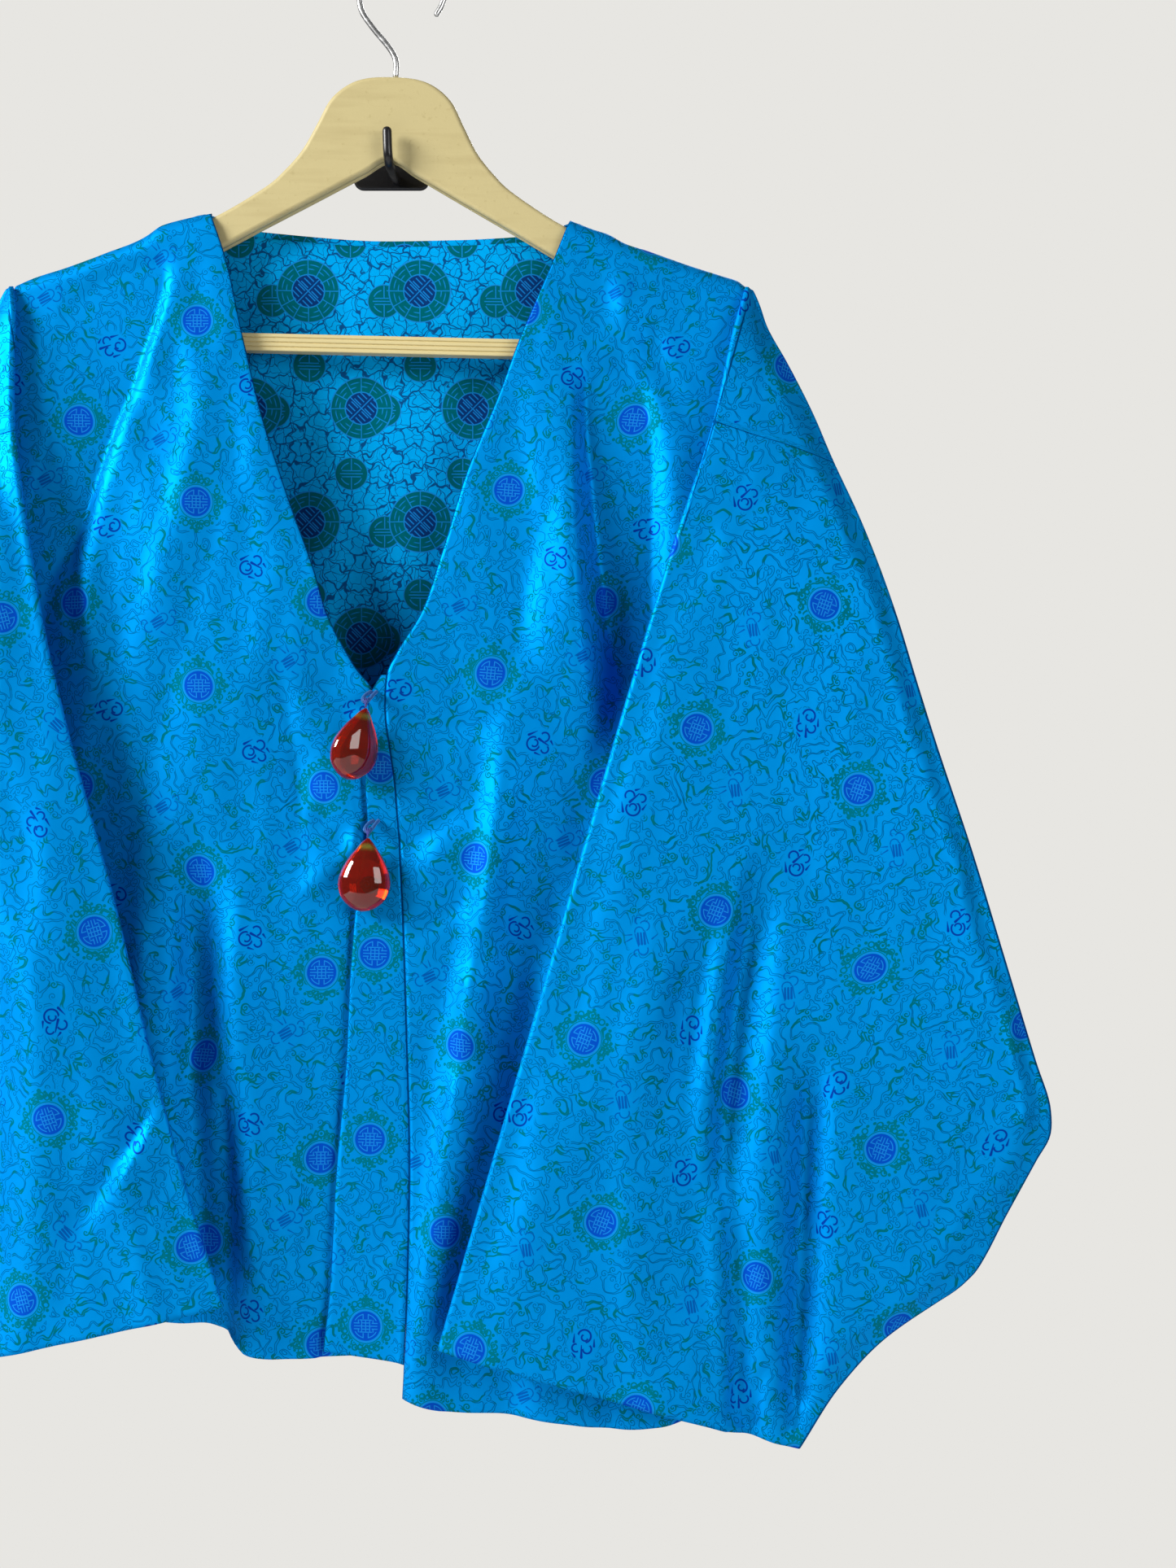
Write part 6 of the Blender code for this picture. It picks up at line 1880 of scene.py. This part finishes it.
class Jacket_OT_buttons(bpy.types.Operator):
    """Builds the two drop buttons with their threads and loops"""

    bl_idname = "jacket.buttons"
    bl_label = "Buttons"

    def execute(self, context):
        for button in BUTTONS:
            word = button.name
            drop = button_mesh(button)
            spot = Vector((button.x, button_place(button)[1], button.z)) / 1000
            drop.transform(Matrix.Translation(spot) @ Matrix.Rotation(button.tilt, 4, "Y"))
            painted("drop_" + word, drop, "clear amber", "amber", "button_" + word)
            painted("thread_" + word, thread_mesh(button), "silk thread", "thread", "button_thread_" + word)
            painted("loop_" + word, loop_mesh(button), "satin cord", "brocade", "button_loop_" + word)
        return {"FINISHED"}


class Jacket_OT_stage(bpy.types.Operator):
    """Sets the camera, the lights and the floor"""

    bl_idname = "jacket.stage"
    bl_label = "Stage"

    def execute(self, context):
        scene = context.scene

        def add(name, data):
            made = bpy.data.objects.new(name, data)
            scene.collection.objects.link(made)
            return made

        floor = bpy.data.meshes.new("studio_floor")
        corners = [(FLOOR_X[x], FLOOR_Y[y], FLOOR_AT) for x, y in ((0, 0), (1, 0), (1, 1), (0, 1))]
        floor.from_pydata(corners, [], [(0, 1, 2, 3)])
        floor.materials.append(finish("studio floor"))
        made = add("studio_floor", floor)
        data = bpy.data.cameras.new("camera")
        data.sensor_fit = "VERTICAL"
        data.sensor_height = CAMERA_SENSOR
        data.lens = CAMERA_LENS
        data.clip_start = CAMERA_NEAR
        camera = add("camera", data)
        camera.location = CAMERA_AT
        camera.rotation_euler = (math.radians(90.0), 0.0, 0.0)
        scene.camera = camera
        for name, spot, aim, power, width in LIGHTS:
            lamp = bpy.data.lights.new(name, "AREA")
            lamp.shape = "RECTANGLE"
            lamp.size = lamp.size_y = width
            lamp.energy = power
            lamp.color = scene.jacket_colours.daylight
            holder = add(name, lamp)
            holder.location = spot
            holder.rotation_euler = (Vector(aim) - Vector(spot)).to_track_quat("-Z", "Y").to_euler()
        world = bpy.data.worlds.new("studio")
        world.use_nodes = True
        tree = world.node_tree
        soft, seen = tree.nodes["Background"], tree.nodes.new("ShaderNodeBackground")
        soft.inputs["Color"].default_value = WORLD_LIGHT
        soft.inputs["Strength"].default_value = WORLD_STRENGTH
        seen.inputs["Color"].default_value = WORLD_SEEN
        path = tree.nodes.new("ShaderNodeLightPath")
        choice = tree.nodes.new("ShaderNodeMixShader")
        for item, number in ((path.outputs["Is Camera Ray"], 0), (soft.outputs[0], 1), (seen.outputs[0], 2)):
            tree.links.new(item, choice.inputs[number])
        tree.links.new(choice.outputs[0], tree.nodes["World Output"].inputs["Surface"])
        scene.world = world
        scene.view_settings.view_transform = "Standard"
        scene.view_settings.look = "None"
        return {"FINISHED"}


OPERATORS = (
    Jacket_OT_back,
    Jacket_OT_fronts,
    Jacket_OT_placket,
    Jacket_OT_sleeves,
    Jacket_OT_hanger,
    Jacket_OT_wall_hook,
    Jacket_OT_buttons,
    Jacket_OT_stage,
)


class Jacket_PT_panel(bpy.types.Panel):
    """Lists the jacket's operators, sizes and colours"""

    bl_label = "Magoja Jacket"
    bl_idname = "JACKET_PT_panel"
    bl_space_type = "VIEW_3D"
    bl_region_type = "UI"
    bl_category = "Jacket"

    def draw(self, context):
        layout = self.layout
        for operator in OPERATORS:
            layout.operator(operator.bl_idname)
        for group in (context.scene.jacket_sizes, context.scene.jacket_pattern, context.scene.jacket_colours):
            column = layout.column(align=True)
            for name in group.__annotations__:
                column.prop(group, name)


GROUPS = {"jacket_sizes": JacketSizes, "jacket_pattern": JacketPattern, "jacket_colours": JacketColours}
CLASSES = (*GROUPS.values(), *OPERATORS, Jacket_PT_panel)


def register():
    for item in CLASSES:
        bpy.utils.register_class(item)
    for name, group in GROUPS.items():
        setattr(bpy.types.Scene, name, bpy.props.PointerProperty(type=group))


def unregister():
    for name in GROUPS:
        delattr(bpy.types.Scene, name)
    for item in reversed(CLASSES):
        bpy.utils.unregister_class(item)


def main():
    register()
    bpy.ops.jacket.back()
    bpy.ops.jacket.fronts()
    bpy.ops.jacket.placket()
    bpy.ops.jacket.sleeves()
    bpy.ops.jacket.hanger()
    bpy.ops.jacket.wall_hook()
    bpy.ops.jacket.buttons()
    bpy.ops.jacket.stage()


if __name__ == "__main__":
    main()
